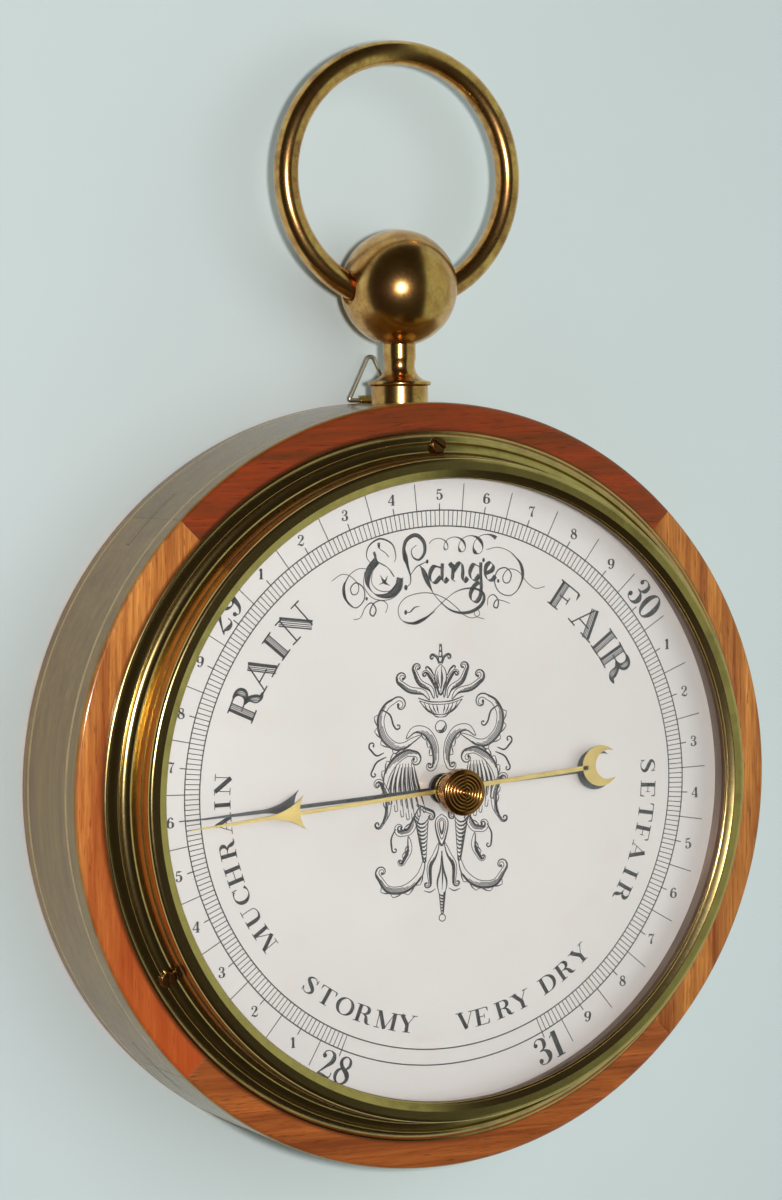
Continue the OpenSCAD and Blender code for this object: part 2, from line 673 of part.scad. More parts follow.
module main_lever() {
    root = [9.5, 4];
    color([0.68, 0.62, 0.50]) face() difference() {
        union() {
            translate([root[0] - 4.5, root[1] - 3, lever_z]) cube([9, 6, 2]);
            flat_bar(root, [link_x, link_y], 3.2, lever_z, lever_t);
            translate([link_x, link_y, lever_z]) cylinder(r = 2.6, h = lever_t);
        }
        translate([link_x, link_y, lever_z - e]) cylinder(r = pin_r + 0.25, h = 5);
    }
}
// Flat bar of width w from p to q, t thick, lying at height z
module flat_bar(p, q, w, z, t) {
    v = q - p;
    translate([p[0], p[1], z]) rotate([0, 0, atan2(v[1], v[0])]) translate([0, -w / 2, 0])
        cube([norm(v), w, t]);
}
module mainspring() {
    waist_y = [clamp_y + 14, leaf_end_y - 14];
    color([0.40, 0.42, 0.46]) face() difference() {
        translate([0, 0, leaf_z]) linear_extrude(leaf_t) polygon([
            [-leaf_half, clamp_y - bridge_t], [leaf_half, clamp_y - bridge_t], [leaf_half, clamp_y],
            [leaf_half - 4, waist_y[0]], [leaf_half - 2, waist_y[1]], [leaf_half - 2, leaf_end_y],
            [6 - leaf_half, leaf_end_y], [2 - leaf_half, waist_y[1]], [4 - leaf_half, waist_y[0]],
            [-leaf_half, clamp_y]]);
        translate([0, capsule_y, leaf_z - e]) cylinder(r = post_r + 0.6, h = leaf_t + 2 * e);
        for (s = [-1, 1]) translate([s * clamp_x, bridge_y, leaf_z - e])
            cylinder(r = machine_r, h = leaf_t + 2 * e);
    }
}
module spring_bridge() {
    color([0.58, 0.56, 0.52]) face() difference() {
        translate([-bridge_half, clamp_y - bridge_t, plate_top])
            cube([2 * bridge_half, bridge_t, leaf_z - plate_top]);
        translate([-clamp_x, clamp_y - bridge_t - e, plate_top - e])
            cube([2 * clamp_x, bridge_t + 2 * e, leaf_z - plate_top - beam_h + e]);
        for (s = [-1, 1]) translate([s * clamp_x, bridge_y, leaf_z - clamp_len - e])
            cylinder(r = machine_r, h = clamp_len + 2 * e);
        for (s = [-1, 1]) translate([s * bridge_x, bridge_y, 0])
            cylinder(r = leg_screw_r, h = panel_front + leg_screw_len + e);
    }
}
module bridge_screws() {
    color([0.60, 0.56, 0.50]) face() for (s = [-1, 1]) {
        translate([s * clamp_x, bridge_y, leaf_z + leaf_t])
            slotted_screw(machine_head_r, machine_head_h, machine_r, leaf_t + clamp_len);
        translate([s * bridge_x, bridge_y, panel_front]) flat_screw(wood_head_r, leg_screw_r, leg_screw_len);
    }
}
// Two corrugated diaphragms soldered at the rim, with the evacuated space between them
module vacuum_capsule() {
    boss_r = 5;
    wall = 0.6;
    lower = capsule_z + 3;
    upper = capsule_top - 3;
    rim = capsule_r - 2;
    waves = 5;
    wave_h = 0.55;
    color([0.74, 0.74, 0.72]) face() translate([0, capsule_y, 0]) difference() {
        rotate_extrude() polygon(concat(
            [[0, capsule_z], [boss_r, capsule_z], [boss_r, lower]],
            reverse(diaphragm(rim, boss_r + 1, lower, waves, wave_h)),
            [[capsule_r, lower + 1.4], [capsule_r, upper - 1.4]],
            diaphragm(rim, boss_r + 1, upper, waves, -wave_h),
            [[boss_r, upper], [boss_r, capsule_top], [0, capsule_top]]));
        rotate_extrude() polygon(concat(
            [[0, lower + wall], [boss_r, lower + wall]],
            reverse(diaphragm(rim, boss_r + 1, lower + wall, waves, wave_h)),
            diaphragm(rim, boss_r + 1, upper - wall, waves, -wave_h),
            [[boss_r, upper - wall], [0, upper - wall]]));
    }
}
module capsule_post() {
    color([0.68, 0.64, 0.55]) face() translate([0, capsule_y, capsule_top]) union() {
        cylinder(r = post_r, h = leaf_z + leaf_t + 2.4 - capsule_top);
        translate([0, 0, leaf_z + leaf_t - capsule_top]) cylinder(r = 3.6, h = 1.6);
    }
}
module chain() {
    links = 14;
    pitch = chain_end / links;
    link_w = 0.68;
    link_t = 0.24;
    color([0.55, 0.52, 0.46]) face() translate([0, chain_y, chain_z]) for (i = [0 : links - 1])
        translate([pitch * i, 0, 0]) rotate([i % 2 * 90, 0, 0]) translate([0, -link_t / 2, -link_w / 2])
            cube([pitch + (i < links - 1 ? 0.1 : 0), link_t, link_w]);
}
module adjuster_bush() {
    color([0.74, 0.60, 0.30]) face() translate([0, capsule_y, panel_front]) difference() {
        union() {
            cylinder(r = adjuster_d / 2 + bush_wall, h = plate_t);
            translate([0, 0, plate_t]) cylinder(r = adjuster_d / 2 + 2 * bush_wall, h = bush_flange_t);
        }
        translate([0, 0, -e]) cylinder(d = adjuster_d + 2 * run, h = plate_t + bush_flange_t + 2 * e);
    }
}
module adjusting_screw() {
    color([0.70, 0.60, 0.38]) face() translate([0, capsule_y, 0]) difference() {
        union() {
            translate([0, 0, 0.8]) cylinder(r = adjuster_d / 2 + 1.2, h = panel_t - 1.4);
            translate([0, 0, 0.8]) cylinder(d = adjuster_d, h = capsule_z - 0.8);
        }
        translate([-10, -0.5, 0]) cube([20, 1, 2.2]);
    }
}

case_segment_top();
case_segment_right();
case_segment_bottom();
case_segment_left();
case_splines();
inlay_front();
inlay_rear();
back_panel();
back_panel_screws();
hanger_strap();
hanger_screws();
hanger_wire();
bezel();
bezel_screws();
dial_seat_ring();
dial();
sight_ring();
glass();
glass_bush();
bush_nut();
set_knob();
set_hand();
indicator_hand();
pointer_spindle();
pendant_foot();
pendant_neck();
pendant_ball();
pendant_stud();
pendant_washer();
pendant_nut();
bow();
base_plate();
plate_screws();
pillars();
top_plate();
top_plate_screws();
spindle_cock();
hairspring();
hairspring_stud();
shaft_bearings();
rocking_shaft();
connecting_link();
main_lever();
mainspring();
spring_bridge();
bridge_screws();
vacuum_capsule();
capsule_post();
chain();
adjuster_bush();
adjusting_screw();
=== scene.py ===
import math

import bpy
import numpy as np
from bpy.props import FloatProperty, FloatVectorProperty, PointerProperty
from mathutils import Matrix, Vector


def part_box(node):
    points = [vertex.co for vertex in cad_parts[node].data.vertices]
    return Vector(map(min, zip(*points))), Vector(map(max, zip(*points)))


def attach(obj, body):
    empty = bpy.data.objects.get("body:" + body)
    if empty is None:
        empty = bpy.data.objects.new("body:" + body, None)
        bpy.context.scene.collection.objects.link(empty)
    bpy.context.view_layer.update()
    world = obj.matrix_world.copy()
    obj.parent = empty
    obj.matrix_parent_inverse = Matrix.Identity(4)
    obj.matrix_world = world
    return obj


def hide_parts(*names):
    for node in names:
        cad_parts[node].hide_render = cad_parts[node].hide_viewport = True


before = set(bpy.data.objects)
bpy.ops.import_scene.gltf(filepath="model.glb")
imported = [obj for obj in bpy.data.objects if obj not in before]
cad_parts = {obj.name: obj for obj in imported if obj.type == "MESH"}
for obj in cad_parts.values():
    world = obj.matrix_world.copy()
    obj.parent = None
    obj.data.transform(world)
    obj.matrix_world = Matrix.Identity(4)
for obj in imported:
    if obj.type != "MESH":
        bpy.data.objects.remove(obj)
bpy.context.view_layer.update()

bl_info = {
    "name": "Wall barometer dressing",
    "version": (1, 0, 0),
    "blender": (4, 5, 0),
    "location": "3D View > Sidebar > Barometer",
    "description": "Wood, brass, dial printing and stage for a round wall barometer",
    "category": "Object",
}

MM = 0.001


def reach(node):
    """Lowest and highest corner of a node of the frame as x, up and out from the wall, in millimetres."""
    low, high = (np.array(corner) * 1000 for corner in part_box(node))
    return np.array([low[0], low[2], -high[1]]), np.array([high[0], high[2], -low[1]])


def across(node):
    """Radius of a round node, in metres, from its width."""
    low, high = reach(node)
    return round((high[0] - low[0]) / 2, 2) * MM


BEZEL = reach("bezel")
DIAL = reach("dial")
GLASS = reach("glass")
KNOB = reach("set_knob")
BALL = reach("pendant_ball")
WIRE = reach("hanger_wire")
PANEL = reach("back_panel")
FACE_OUT = reach("case_segment_bottom")[1][2]
PEND_OUT = FACE_OUT / 2

# Millimetres inwards from the bezel's foot
BEZEL_WIDTH = 15.1
SCREW_INSET = 4.6
# Radius of a screw's seat, and how far out its wall is pulled in to it
SEAT, SEAT_REACH = 2.72, 2.82
SCREW_ANGLES = np.radians([0.0, 120.0, 240.0])
# How far out from the wall the strap's recess runs up the drum's side
SHELF = 3.55
# The scale: inches at the top of the dial, degrees to an inch, and the radii of its track
TOP_INCHES, INCH = 29.5, 104.1
TRACK_IN, TRACK_OUT = 85.0, 90.14
# Bore of the pieces that the pendant's stud runs through
STUD_BORE = 3.05


# Sizes and finishes

def length(name, text, value):
    """A length in metres that the sidebar can change."""
    return FloatProperty(name=name, description=text, default=value, unit="LENGTH", precision=5)


def tint(name, text, value):
    """A colour that the sidebar can change."""
    return FloatVectorProperty(name=name, description=text, default=value, subtype="COLOR", size=3, min=0, max=1)


class BarometerSizes(bpy.types.PropertyGroup):
    """Sizes of the dressed pieces."""
    drum_radius: length("Drum radius", "Outside radius of the wooden drum", across("inlay_front"))
    bore_radius: length("Drum bore", "Radius of the hole through the drum", 0.098)
    edge_round: length("Edge rounding", "Rounding of the drum's edges", 0.0015)
    joint_groove: length("Joint line", "Depth of the fine line where two drum segments meet", 0.00013)
    bezel_radius: length("Bezel radius", "Outside radius of the brass bezel", 0.1157)
    ball_radius: length("Ball radius", "Radius of the pendant ball", 0.0192)
    bow_radius: length("Bow radius", "Radius of the bow's centre line", 0.0404)
    rod_radius: length("Bow rod radius", "Radius of the bow's rod", 0.004)
    wire_radius: length("Hanger wire radius", "Radius of the hanger's wire", 0.00075)
    knob_radius: length("Knob radius", "Radius of the set knob", across("set_knob"))
    ink_height: length("Ink height", "Height of the printing above the dial", 0.00003)
    reading: FloatProperty(name="Reading", description="Pressure that the indicator shows, in inches",
                           default=28.6, min=28, max=31)
    set_reading: FloatProperty(name="Set reading", description="Pressure that the set hand marks, in inches",
                               default=28.585, min=28, max=31)


class BarometerFinish(bpy.types.PropertyGroup):
    """Colours of the finishes, as linear values."""
    wood_light: tint("Light wood", "Pale bands of the hardwood", (0.84, 0.335, 0.068))
    wood_dark: tint("Dark wood", "Dark bands of the hardwood", (0.25, 0.054, 0.008))
    wood_red: tint("Red wood", "Pale bands of the reddish top segment", (0.35, 0.040, 0.003))
    inlay: tint("Inlay", "Pale lines round the drum's side", (0.80, 0.56, 0.27))
    spline: tint("Spline keys", "Keys across the drum's joints", (0.42, 0.28, 0.14))
    panel: tint("Back panel", "Board that closes the back", (0.30, 0.17, 0.08))
    brass: tint("Polished brass", "Bright yellow metal", (0.66, 0.48, 0.16))
    aged_brass: tint("Aged brass", "Warm brass of the pendant and knob", (0.50, 0.23, 0.07))
    tarnish: tint("Tarnish", "Brown film in the hollows of the brass", (0.16, 0.075, 0.025))
    dial: tint("Dial", "Silvered face", (0.78, 0.70, 0.685))
    ink: tint("Ink", "Printing on the dial", (0.012, 0.010, 0.009))
    wall: tint("Wall", "Plain wall behind the object", (0.62, 0.69, 0.70))


def sizes():
    """The scene's sizes."""
    return bpy.context.scene.barometer_sizes


def finish():
    """The scene's colours."""
    return bpy.context.scene.barometer_finish


# Meshes from grids and profiles

def face_point(x, up, out):
    """Places points given right, up and out from the wall, in millimetres, as world points in metres."""
    x, up, out = np.broadcast_arrays(np.asarray(x, float), np.asarray(up, float), np.asarray(out, float))
    return np.stack([x, -out, up], -1) * MM


def grid_faces(grid, round_u=False, round_v=False):
    """Quads between neighbouring lines of a grid; a round direction joins its last line to its first."""
    nu, nv = grid.shape[:2]
    i, j = np.meshgrid(np.arange(nu if round_u else nu - 1), np.arange(nv if round_v else nv - 1), indexing="ij")
    i2, j2 = (i + 1) % nu, (j + 1) % nv
    quads = np.stack([i * nv + j, i2 * nv + j, i2 * nv + j2, i * nv + j2], -1).reshape(-1, 4)
    return grid.reshape(-1, 3), quads


def join(*parts):
    """One set of points and quads from several."""
    points, quads, start = [], [], 0
    for p, q in parts:
        points.append(p)
        quads.append(q + start)
        start += len(p)
    return np.concatenate(points), np.concatenate(quads)


def outwards(points, quads):
    """Turns all faces over if the solid they close has a negative volume: the sum of the
    corner products of each face seen from the middle of the points."""
    p = points - points.mean(0)
    a, b, c, d = (p[quads[:, k]] for k in range(4))
    volume = (np.einsum("ij,ij->i", a, np.cross(b, c)) + np.einsum("ij,ij->i", a, np.cross(c, d))).sum()
    return quads if volume > 0 else quads[:, ::-1]


def weld(points, quads):
    """Merges points within 0.1 micrometre, so seams and poles close, and drops faces that shrank away."""
    keys = np.round(points * 1e7).astype(np.int64)
    _, first, back = np.unique(keys, axis=0, return_index=True, return_inverse=True)
    quads = back.reshape(-1)[quads]
    kept = quads != np.roll(quads, -1, axis=1)
    twisted = (quads[:, 0] == quads[:, 2]) | (quads[:, 1] == quads[:, 3])
    good = (kept.sum(1) >= 3) & ~twisted
    return points[first], quads[good], kept[good]


def make_mesh(name, points, quads, sharp=35.0):
    """Writes welded points and faces into a new mesh, smooth but for edges over the given angle."""
    points, quads, kept = weld(points, quads)
    mesh = bpy.data.meshes.new(name)
    totals = kept.sum(1)
    mesh.vertices.add(len(points))
    mesh.vertices.foreach_set("co", points.astype(np.float32).ravel())
    mesh.loops.add(int(totals.sum()))
    mesh.loops.foreach_set("vertex_index", quads[kept].astype(np.int32))
    mesh.polygons.add(len(totals))
    mesh.polygons.foreach_set("loop_start", np.concatenate([[0], np.cumsum(totals)[:-1]]).astype(np.int32))
    mesh.update(calc_edges=True)
    mesh.validate()
    mesh.shade_smooth()
    mesh.set_sharp_from_angle(angle=math.radians(sharp))
    return mesh


def add_piece(name, mesh, body, key, replaced=()):
    """Links a mesh as a piece with the named finish that rides on a body and stands for nodes."""
    piece = bpy.data.objects.new(name, mesh)
    bpy.context.scene.collection.objects.link(piece)
    mesh.materials.append(material(key))
    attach(piece, body)
    finishes()[key][0]
    if replaced:
        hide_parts(*replaced)
    return piece


def solid(name, parts, body, key, replaced=(), sharp=35.0):
    """A piece from closed parts, each turned to face outwards."""
    points, quads = join(*[(p, outwards(p, q)) for p, q in parts])
    return add_piece(name, make_mesh(name, points, quads, sharp), body, key, replaced)


def bulge(p, q, height, n=8):
    """Points from p to q along a parabola that stands out to the left by the height."""
    p, q = np.array(p, float), np.array(q, float)
    t = np.linspace(0, 1, n + 1)[:, None]
    way = q - p
    left = np.array([-way[1], way[0]]) / np.hypot(*way)
    return p + way * t + left * 4 * height * t * (1 - t)


def arc(centre, radius, start, end, n=8):
    """Points on a circle between two angles in degrees."""
    a = np.radians(np.linspace(start, end, n + 1))
    return np.stack([centre[0] + radius * np.cos(a), centre[1] + radius * np.sin(a)], -1)


def run(p, q, ease=0.12):
    """A straight line with two more points close to its ends, which keep its face flat when smooth."""
    p, q = np.array(p, float), np.array(q, float)
    near = min(ease / max(np.hypot(*(q - p)), 1e-6), 0.3)
    return p + (q - p) * np.array([0, near, 1 - near, 1])[:, None]


def profile(*parts):
    """Joins rows of points into one profile, less any point that repeats the one before and a
    last point that repeats the first."""
    points = np.concatenate([np.atleast_2d(np.array(p, float)) for p in parts])
    points = points[np.concatenate([[True], np.hypot(*np.diff(points, axis=0).T) > 1e-6])]
    return points[:-1] if np.hypot(*(points[-1] - points[0])) < 1e-6 else points


def walls(*corners):
    """Straight runs from corner to corner; a corner's third number is the ease of the run after it."""
    return profile(*[run(p[:2], q[:2], *p[2:]) for p, q in zip(corners, corners[1:])])


def around(count):
    """Angles of points spread evenly round a full turn."""
    return np.linspace(0, 2 * np.pi, count, endpoint=False)


def dial_lathe(section, angles=480):
    """Turns a closed section of (radius, out) round the dial's axis: x = r sin a, up = r cos a."""
    a = around(angles)
    r, out = section[:, :1], section[:, 1:]
    return grid_faces(face_point(r * np.sin(a), r * np.cos(a), out + 0 * a), True, True)


def post_lathe(section, out):
    """Turns a closed section of (radius, up) round an upright axis: x = r cos a, out = r sin a."""
    a = around(160)
    r, up = section[:, :1], section[:, 1:]
    return grid_faces(face_point(r * np.cos(a), up + 0 * a, out + r * np.sin(a)), True, True)


def swept_sector(r, out, a, cap):
    """Rows of (radius, out) carried along angles on the dial's plane; a fan from the cap's point
    closes each end."""
    beside = ((0, 0), (1, 1))
    r = np.pad(r, beside, constant_values=cap[0])
    out = np.pad(out, beside, constant_values=cap[1])
    return r, out, np.pad(a, 1, mode="edge")


def tube(path, radius, sides, closed=False):
    """A round rod along a path of points in millimetres (x, up, out) that keeps its distance from
    the wall or runs across it: each ring stands square to the path, and open ends close on a point."""
    path = np.asarray(path, float)
    way = np.roll(path, -1, 0) - np.roll(path, 1, 0) if closed else np.gradient(path, axis=0)
    way /= np.linalg.norm(way, axis=1)[:, None]
    side = np.cross(way, [0.0, 0.0, 1.0])
    side /= np.linalg.norm(side, axis=1)[:, None]
    top = np.cross(side, way)
    a = around(sides)[:, None]
    ring = path[:, None] + radius * (np.cos(a) * side[:, None] + np.sin(a) * top[:, None])
    if not closed:
        ring = np.concatenate([np.repeat(path[:1, None], sides, 1), ring, np.repeat(path[-1:, None], sides, 1)])
    return grid_faces(face_point(ring[..., 0], ring[..., 1], ring[..., 2]), closed, True)


def plate_mesh(name, outlines, low, high):
    """Flat plates from closed outlines of (x, up): walls between two copies, and a face on each."""
    points, faces = [], []
    for outline in outlines:
        outline = np.asarray(outline, float)
        x, y = outline.T
        if (x * np.roll(y, -1) - y * np.roll(x, -1)).sum() > 0:
            outline = outline[::-1]
        n, start = len(outline), len(points)
        for out in (low, high):
            points.extend(face_point(outline[:, 0], outline[:, 1], out).tolist())
        ring = np.arange(n)
        after = (ring + 1) % n
        faces.append((start + ring).tolist())
        faces.append((start + n + ring[::-1]).tolist())
        faces.extend((np.stack([ring, ring + n, after + n, after], -1) + start).tolist())
    mesh = bpy.data.meshes.new(name)
    mesh.from_pydata(points, [], faces)
    mesh.update()
    mesh.validate()
    mesh.shade_smooth()
    mesh.set_sharp_from_angle(angle=math.radians(30))
    return mesh


def round_edges(piece, width, segments):
    """Rounds a piece's sharp edges with a bevel."""
    bevel = piece.modifiers.new("Edges", "BEVEL")
    bevel.width = width * MM
    bevel.segments = segments
    bevel.limit_method = "ANGLE"
    bevel.angle_limit = math.radians(35)
    bevel.harden_normals = True


def turned(points, clockwise):
    """Points of (x, up) turned clockwise on the dial by degrees."""
    a = math.radians(clockwise)
    points = np.asarray(points, float)
    return np.stack([points[..., 0] * math.cos(a) + points[..., 1] * math.sin(a),
                     points[..., 1] * math.cos(a) - points[..., 0] * math.sin(a)], -1)


# Materials

class Recipe:
    """Node tree of one material, with short calls for the few kinds of node used here."""

    def __init__(self, name):
        self.material = bpy.data.materials.new(name)
        self.material.use_nodes = True
        self.tree = self.material.node_tree
        self.tree.nodes.clear()
        self.out = self.node("ShaderNodeOutputMaterial")
        self.shader = self.node("ShaderNodeBsdfPrincipled")
        self.link(self.shader.outputs[0], self.out.inputs["Surface"])
        self.place = self.node("ShaderNodeTexCoord").outputs["Object"]

    def node(self, kind, **settings):
        """A new node with its settings."""
        made = self.tree.nodes.new(kind)
        for key, value in settings.items():
            setattr(made, key, value)
        return made

    def link(self, a, b):
        """Joins an output to an input."""
        self.tree.links.new(a, b)

    def feed(self, socket, value):
        """Gives an input another node's output, a colour or a number."""
        if isinstance(value, bpy.types.NodeSocket):
            self.link(value, socket)
        elif socket.type == "RGBA":
            socket.default_value = (*value[:3], 1.0)
        else:
            socket.default_value = value

    def mapped(self, scale=(1, 1, 1), turn=(0, 0, 0), shift=(0, 0, 0), source=None):
        """Object coordinates turned, then stretched."""
        made = self.node("ShaderNodeMapping", vector_type="POINT")
        self.feed(made.inputs["Vector"], source or self.place)
        made.inputs["Location"].default_value = shift
        made.inputs["Rotation"].default_value = turn
        made.inputs["Scale"].default_value = scale
        return made.outputs[0]

    def noise(self, vector, scale, detail=4.0, rough=0.55):
        """Cloudy noise, mostly between 0.3 and 0.7."""
        made = self.node("ShaderNodeTexNoise")
        for key, value in (("Vector", vector), ("Scale", scale), ("Detail", detail), ("Roughness", rough)):
            self.feed(made.inputs[key], value)
        return made.outputs["Fac"]

    def cells(self, vector, scale):
        """Distance from the nearest of many scattered points."""
        made = self.node("ShaderNodeTexVoronoi", feature="F1")
        self.feed(made.inputs["Vector"], vector)
        made.inputs["Scale"].default_value = scale
        return made.outputs["Distance"]

    def span(self, value, low, high, to_low=0.0, to_high=1.0):
        """Carries a value from one span to another, held at its ends."""
        made = self.node("ShaderNodeMapRange", clamp=True)
        for key, v in zip(("Value", "From Min", "From Max", "To Min", "To Max"),
                          (value, low, high, to_low, to_high)):
            self.feed(made.inputs[key], v)
        return made.outputs[0]

    def calc(self, operation, a, b=0.0):
        """A sum, product, power, root or larger value."""
        made = self.node("ShaderNodeMath", operation=operation)
        for socket, value in zip(made.inputs, (a, b)):
            self.feed(socket, value)
        return made.outputs[0]

    def blend(self, amount, a, b):
        """Mixes two colours by an amount."""
        made = self.node("ShaderNodeMix", data_type="RGBA", blend_type="MIX")
        self.feed(made.inputs[0], amount)
        self.feed(made.inputs[6], a)
        self.feed(made.inputs[7], b)
        return made.outputs[2]

    def bump(self, height, strength, distance):
        """Fine relief on the shader's normal."""
        made = self.node("ShaderNodeBump")
        made.inputs["Strength"].default_value = strength
        made.inputs["Distance"].default_value = distance
        self.feed(made.inputs["Height"], height)
        self.feed(self.shader.inputs["Normal"], made.outputs[0])

    def let_through(self, amount, colour=(1, 1, 1)):
        """Mixes a clear surface into the shader by an amount."""
        clear = self.node("ShaderNodeBsdfTransparent")
        self.feed(clear.inputs["Color"], colour)
        mixed = self.node("ShaderNodeMixShader")
        for socket, source in zip(mixed.inputs, (amount, self.shader.outputs[0], clear.outputs[0])):
            self.link(source, socket)
        self.link(mixed.outputs[0], self.out.inputs["Surface"])

    def set(self, **values):
        """Values of the shader's own sockets, by name with spaces as underscores."""
        for key, value in values.items():
            self.feed(self.shader.inputs[key.replace("_", " ")], value)
        return self.material


def shade(colour, factor):
    """A colour made darker or lighter."""
    return tuple(min(c * factor, 1.0) for c in colour)


def hardwood(name, light, dark, upright, seed, coat=0.6, aged=1.0, redder=0.0):
    """Varnished hardwood: broad streaks and fine fibres run along the board, which lies level or upright. Streaks are
    noise stretched thirtyfold along the grain, bent by slow noise; pores are short dark dashes from a second noise.
    Aged sets two things. The first is how strongly the drum's side is painted olive following the grain, as painted
    shade and painted reflection of the pale wall. The second is how dark a thin line on the wood just outside the
    bezel's foot is. Redder is how far the board turns red towards its lower end."""
    m = Recipe(name)
    turn = (0.0, math.radians(90), 0.0) if upright else (0.0, 0.0, 0.0)
    along = m.mapped(turn=turn, shift=(seed * 0.31, seed * 0.17, seed * 0.07))
    slow = m.node("ShaderNodeTexNoise")
    m.feed(slow.inputs["Vector"], m.mapped((4, 14, 14), source=along))
    slow.inputs["Scale"].default_value = 1.0
    slow.inputs["Detail"].default_value = 1.5
    pull = m.node("ShaderNodeVectorMath", operation="SCALE")
    m.feed(pull.inputs[0], slow.outputs["Color"])
    pull.inputs["Scale"].default_value = 0.012
    bent = m.node("ShaderNodeVectorMath", operation="ADD")
    m.feed(bent.inputs[0], along)
    m.feed(bent.inputs[1], pull.outputs[0])
    streak, fibre, pores = (m.noise(m.mapped(stretch, source=bent.outputs[0]), 1.0, detail, rough)
                            for stretch, detail, rough in (((7, 190, 190), 7.0, 0.68),
                                                           ((60, 1500, 1500), 3.0, 0.6),
                                                           ((160, 2600, 2600), 1.0, 0.5)))
    band = m.span(streak, 0.36, 0.64)
    colour = m.blend(band, light, dark)
    colour = m.blend(m.span(fibre, 0.32, 0.68, 0.0, 0.55), colour, shade(dark, 0.9))
    colour = m.blend(m.span(pores, 0.62, 0.70, 0.0, 0.55), colour, shade(dark, 0.35))
    apart = m.node("ShaderNodeSeparateXYZ")
    m.link(m.place, apart.inputs[0])
    x, _, up = apart.outputs
    colour = m.blend(m.span(up, -0.092, 0.035, redder, 0.0), colour, shade(finish().wood_red, 1.25))
    far = m.calc("SQRT", m.calc("ADD", m.calc("POWER", x, 2.0), m.calc("POWER", up, 2.0)))
    # Painted shade and painted reflection: on the drum's side the wood turns to two olive tones mixed by the grain,
    # standing in for the side's shade and its sheen of the pale wall.
    wear = m.calc("ADD", m.calc("MULTIPLY", band, 0.6), m.span(fibre, 0.3, 0.7, 0.0, 0.4))
    worn = m.blend(wear, (0.36, 0.22, 0.04), (0.19, 0.10, 0.014))
    colour = m.blend(m.span(far, 0.1244, 0.1249, 0.0, 0.88 * aged), colour, worn)
    # The wood darkens in a thin ring just outside the bezel's foot.
    colour = m.blend(m.span(far, 0.1159, 0.1168, 0.7 * aged, 0.0), colour, shade(dark, 0.4))
    m.bump(fibre, 0.12, 0.00015)
    return m.set(Base_Color=colour, Roughness=m.span(fibre, 0.2, 0.8, 0.34, 0.50), Specular_IOR_Level=0.2,
                 Coat_Weight=coat, Coat_Roughness=0.1, Coat_IOR=1.5)


def brass(name, bright, dull, film, rough, speckle, seed, patch=28.0, lacquer=0.0):
    """Brass whose colour wanders between bright and dull, with a brown film in patches, small dark
    specks, a roughness that follows the film from its first value to its second, and lacquer."""
    m = Recipe(name)
    spot = m.mapped(shift=(seed, seed * 0.7, seed * 0.3))
    wander = m.noise(spot, patch, 5.0, 0.62)
    cloud = m.noise(spot, patch * 4.5, 4.0, 0.7)
    grain = m.noise(spot, 1500.0, 2.0, 0.6)
    stain = m.calc("MULTIPLY", m.span(wander, 0.42, 0.68), m.span(cloud, 0.35, 0.70))
    dots = m.span(m.cells(spot, 950.0), 0.10, 0.22, 1.0, 0.0)
    few = m.calc("MULTIPLY", dots, m.span(cloud, 0.46, 0.60))
    colour = m.blend(m.span(cloud, 0.3, 0.7), bright, dull)
    colour = m.blend(m.calc("MULTIPLY", stain, film), colour, finish().tarnish)
    colour = m.blend(m.calc("MULTIPLY", few, speckle), colour, shade(finish().tarnish, 0.6))
    base = m.span(grain, 0.2, 0.8, rough[0], rough[0] * 1.35)
    worn = m.calc("ADD", base, m.calc("MULTIPLY", stain, rough[1] - rough[0]))
    m.bump(m.calc("ADD", wander, m.calc("MULTIPLY", grain, 0.05)), 0.05, 0.0006)
    return m.set(Base_Color=colour, Metallic=1.0, Roughness=worn, Coat_Weight=lacquer, Coat_Roughness=0.3)


def plain_metal(name, light, dark, rough, seed):
    """Worked metal with faint cloudy wear."""
    m = Recipe(name)
    spot = m.mapped(shift=(seed, seed, seed))
    cloud = m.noise(spot, 220.0, 4.0, 0.6)
    colour = m.blend(m.span(cloud, 0.3, 0.7), light, dark)
    return m.set(Base_Color=colour, Metallic=1.0, Roughness=m.span(cloud, 0.3, 0.7, rough, rough * 1.5))


def silvered(name, light, metal=0.12):
    """Silvered dial under lacquer: pale, nearly matt, with faint clouds and a few warm age marks."""
    m = Recipe(name)
    slow = m.noise(m.place, 16.0, 4.0, 0.55)
    fine = m.noise(m.place, 2400.0, 2.0, 0.6)
    colour = m.blend(m.span(slow, 0.35, 0.68, 0.0, 1.0), light, shade(light, 0.93))
    warm = m.calc("MULTIPLY", m.span(m.noise(m.place, 60.0, 3.0), 0.60, 0.74), 0.35)
    colour = m.blend(warm, colour, (light[0] * 0.94, light[1] * 0.86, light[2] * 0.74))
    m.bump(fine, 0.05, 0.00004)
    return m.set(Base_Color=colour, Metallic=metal, Roughness=m.span(fine, 0.3, 0.7, 0.40, 0.52))


def ink_film(name, colour):
    """Printing ink, a little uneven in depth."""
    m = Recipe(name)
    wear = m.noise(m.place, 900.0, 3.0, 0.6)
    return m.set(Base_Color=m.blend(m.span(wear, 0.45, 0.75, 0.0, 0.5), colour, (0.06, 0.055, 0.05)),
                 Roughness=0.42, Specular_IOR_Level=0.3)


def blackened_steel(name):
    """Blackened steel with small rubbed places."""
    m = Recipe(name)
    wear = m.noise(m.place, 320.0, 4.0, 0.65)
    colour = m.blend(m.span(wear, 0.5, 0.75), (0.034, 0.032, 0.036), (0.085, 0.08, 0.08))
    return m.set(Base_Color=colour, Roughness=m.span(wear, 0.3, 0.7, 0.22, 0.4), Metallic=0.35, Coat_Weight=0.25,
                 Coat_Roughness=0.15)


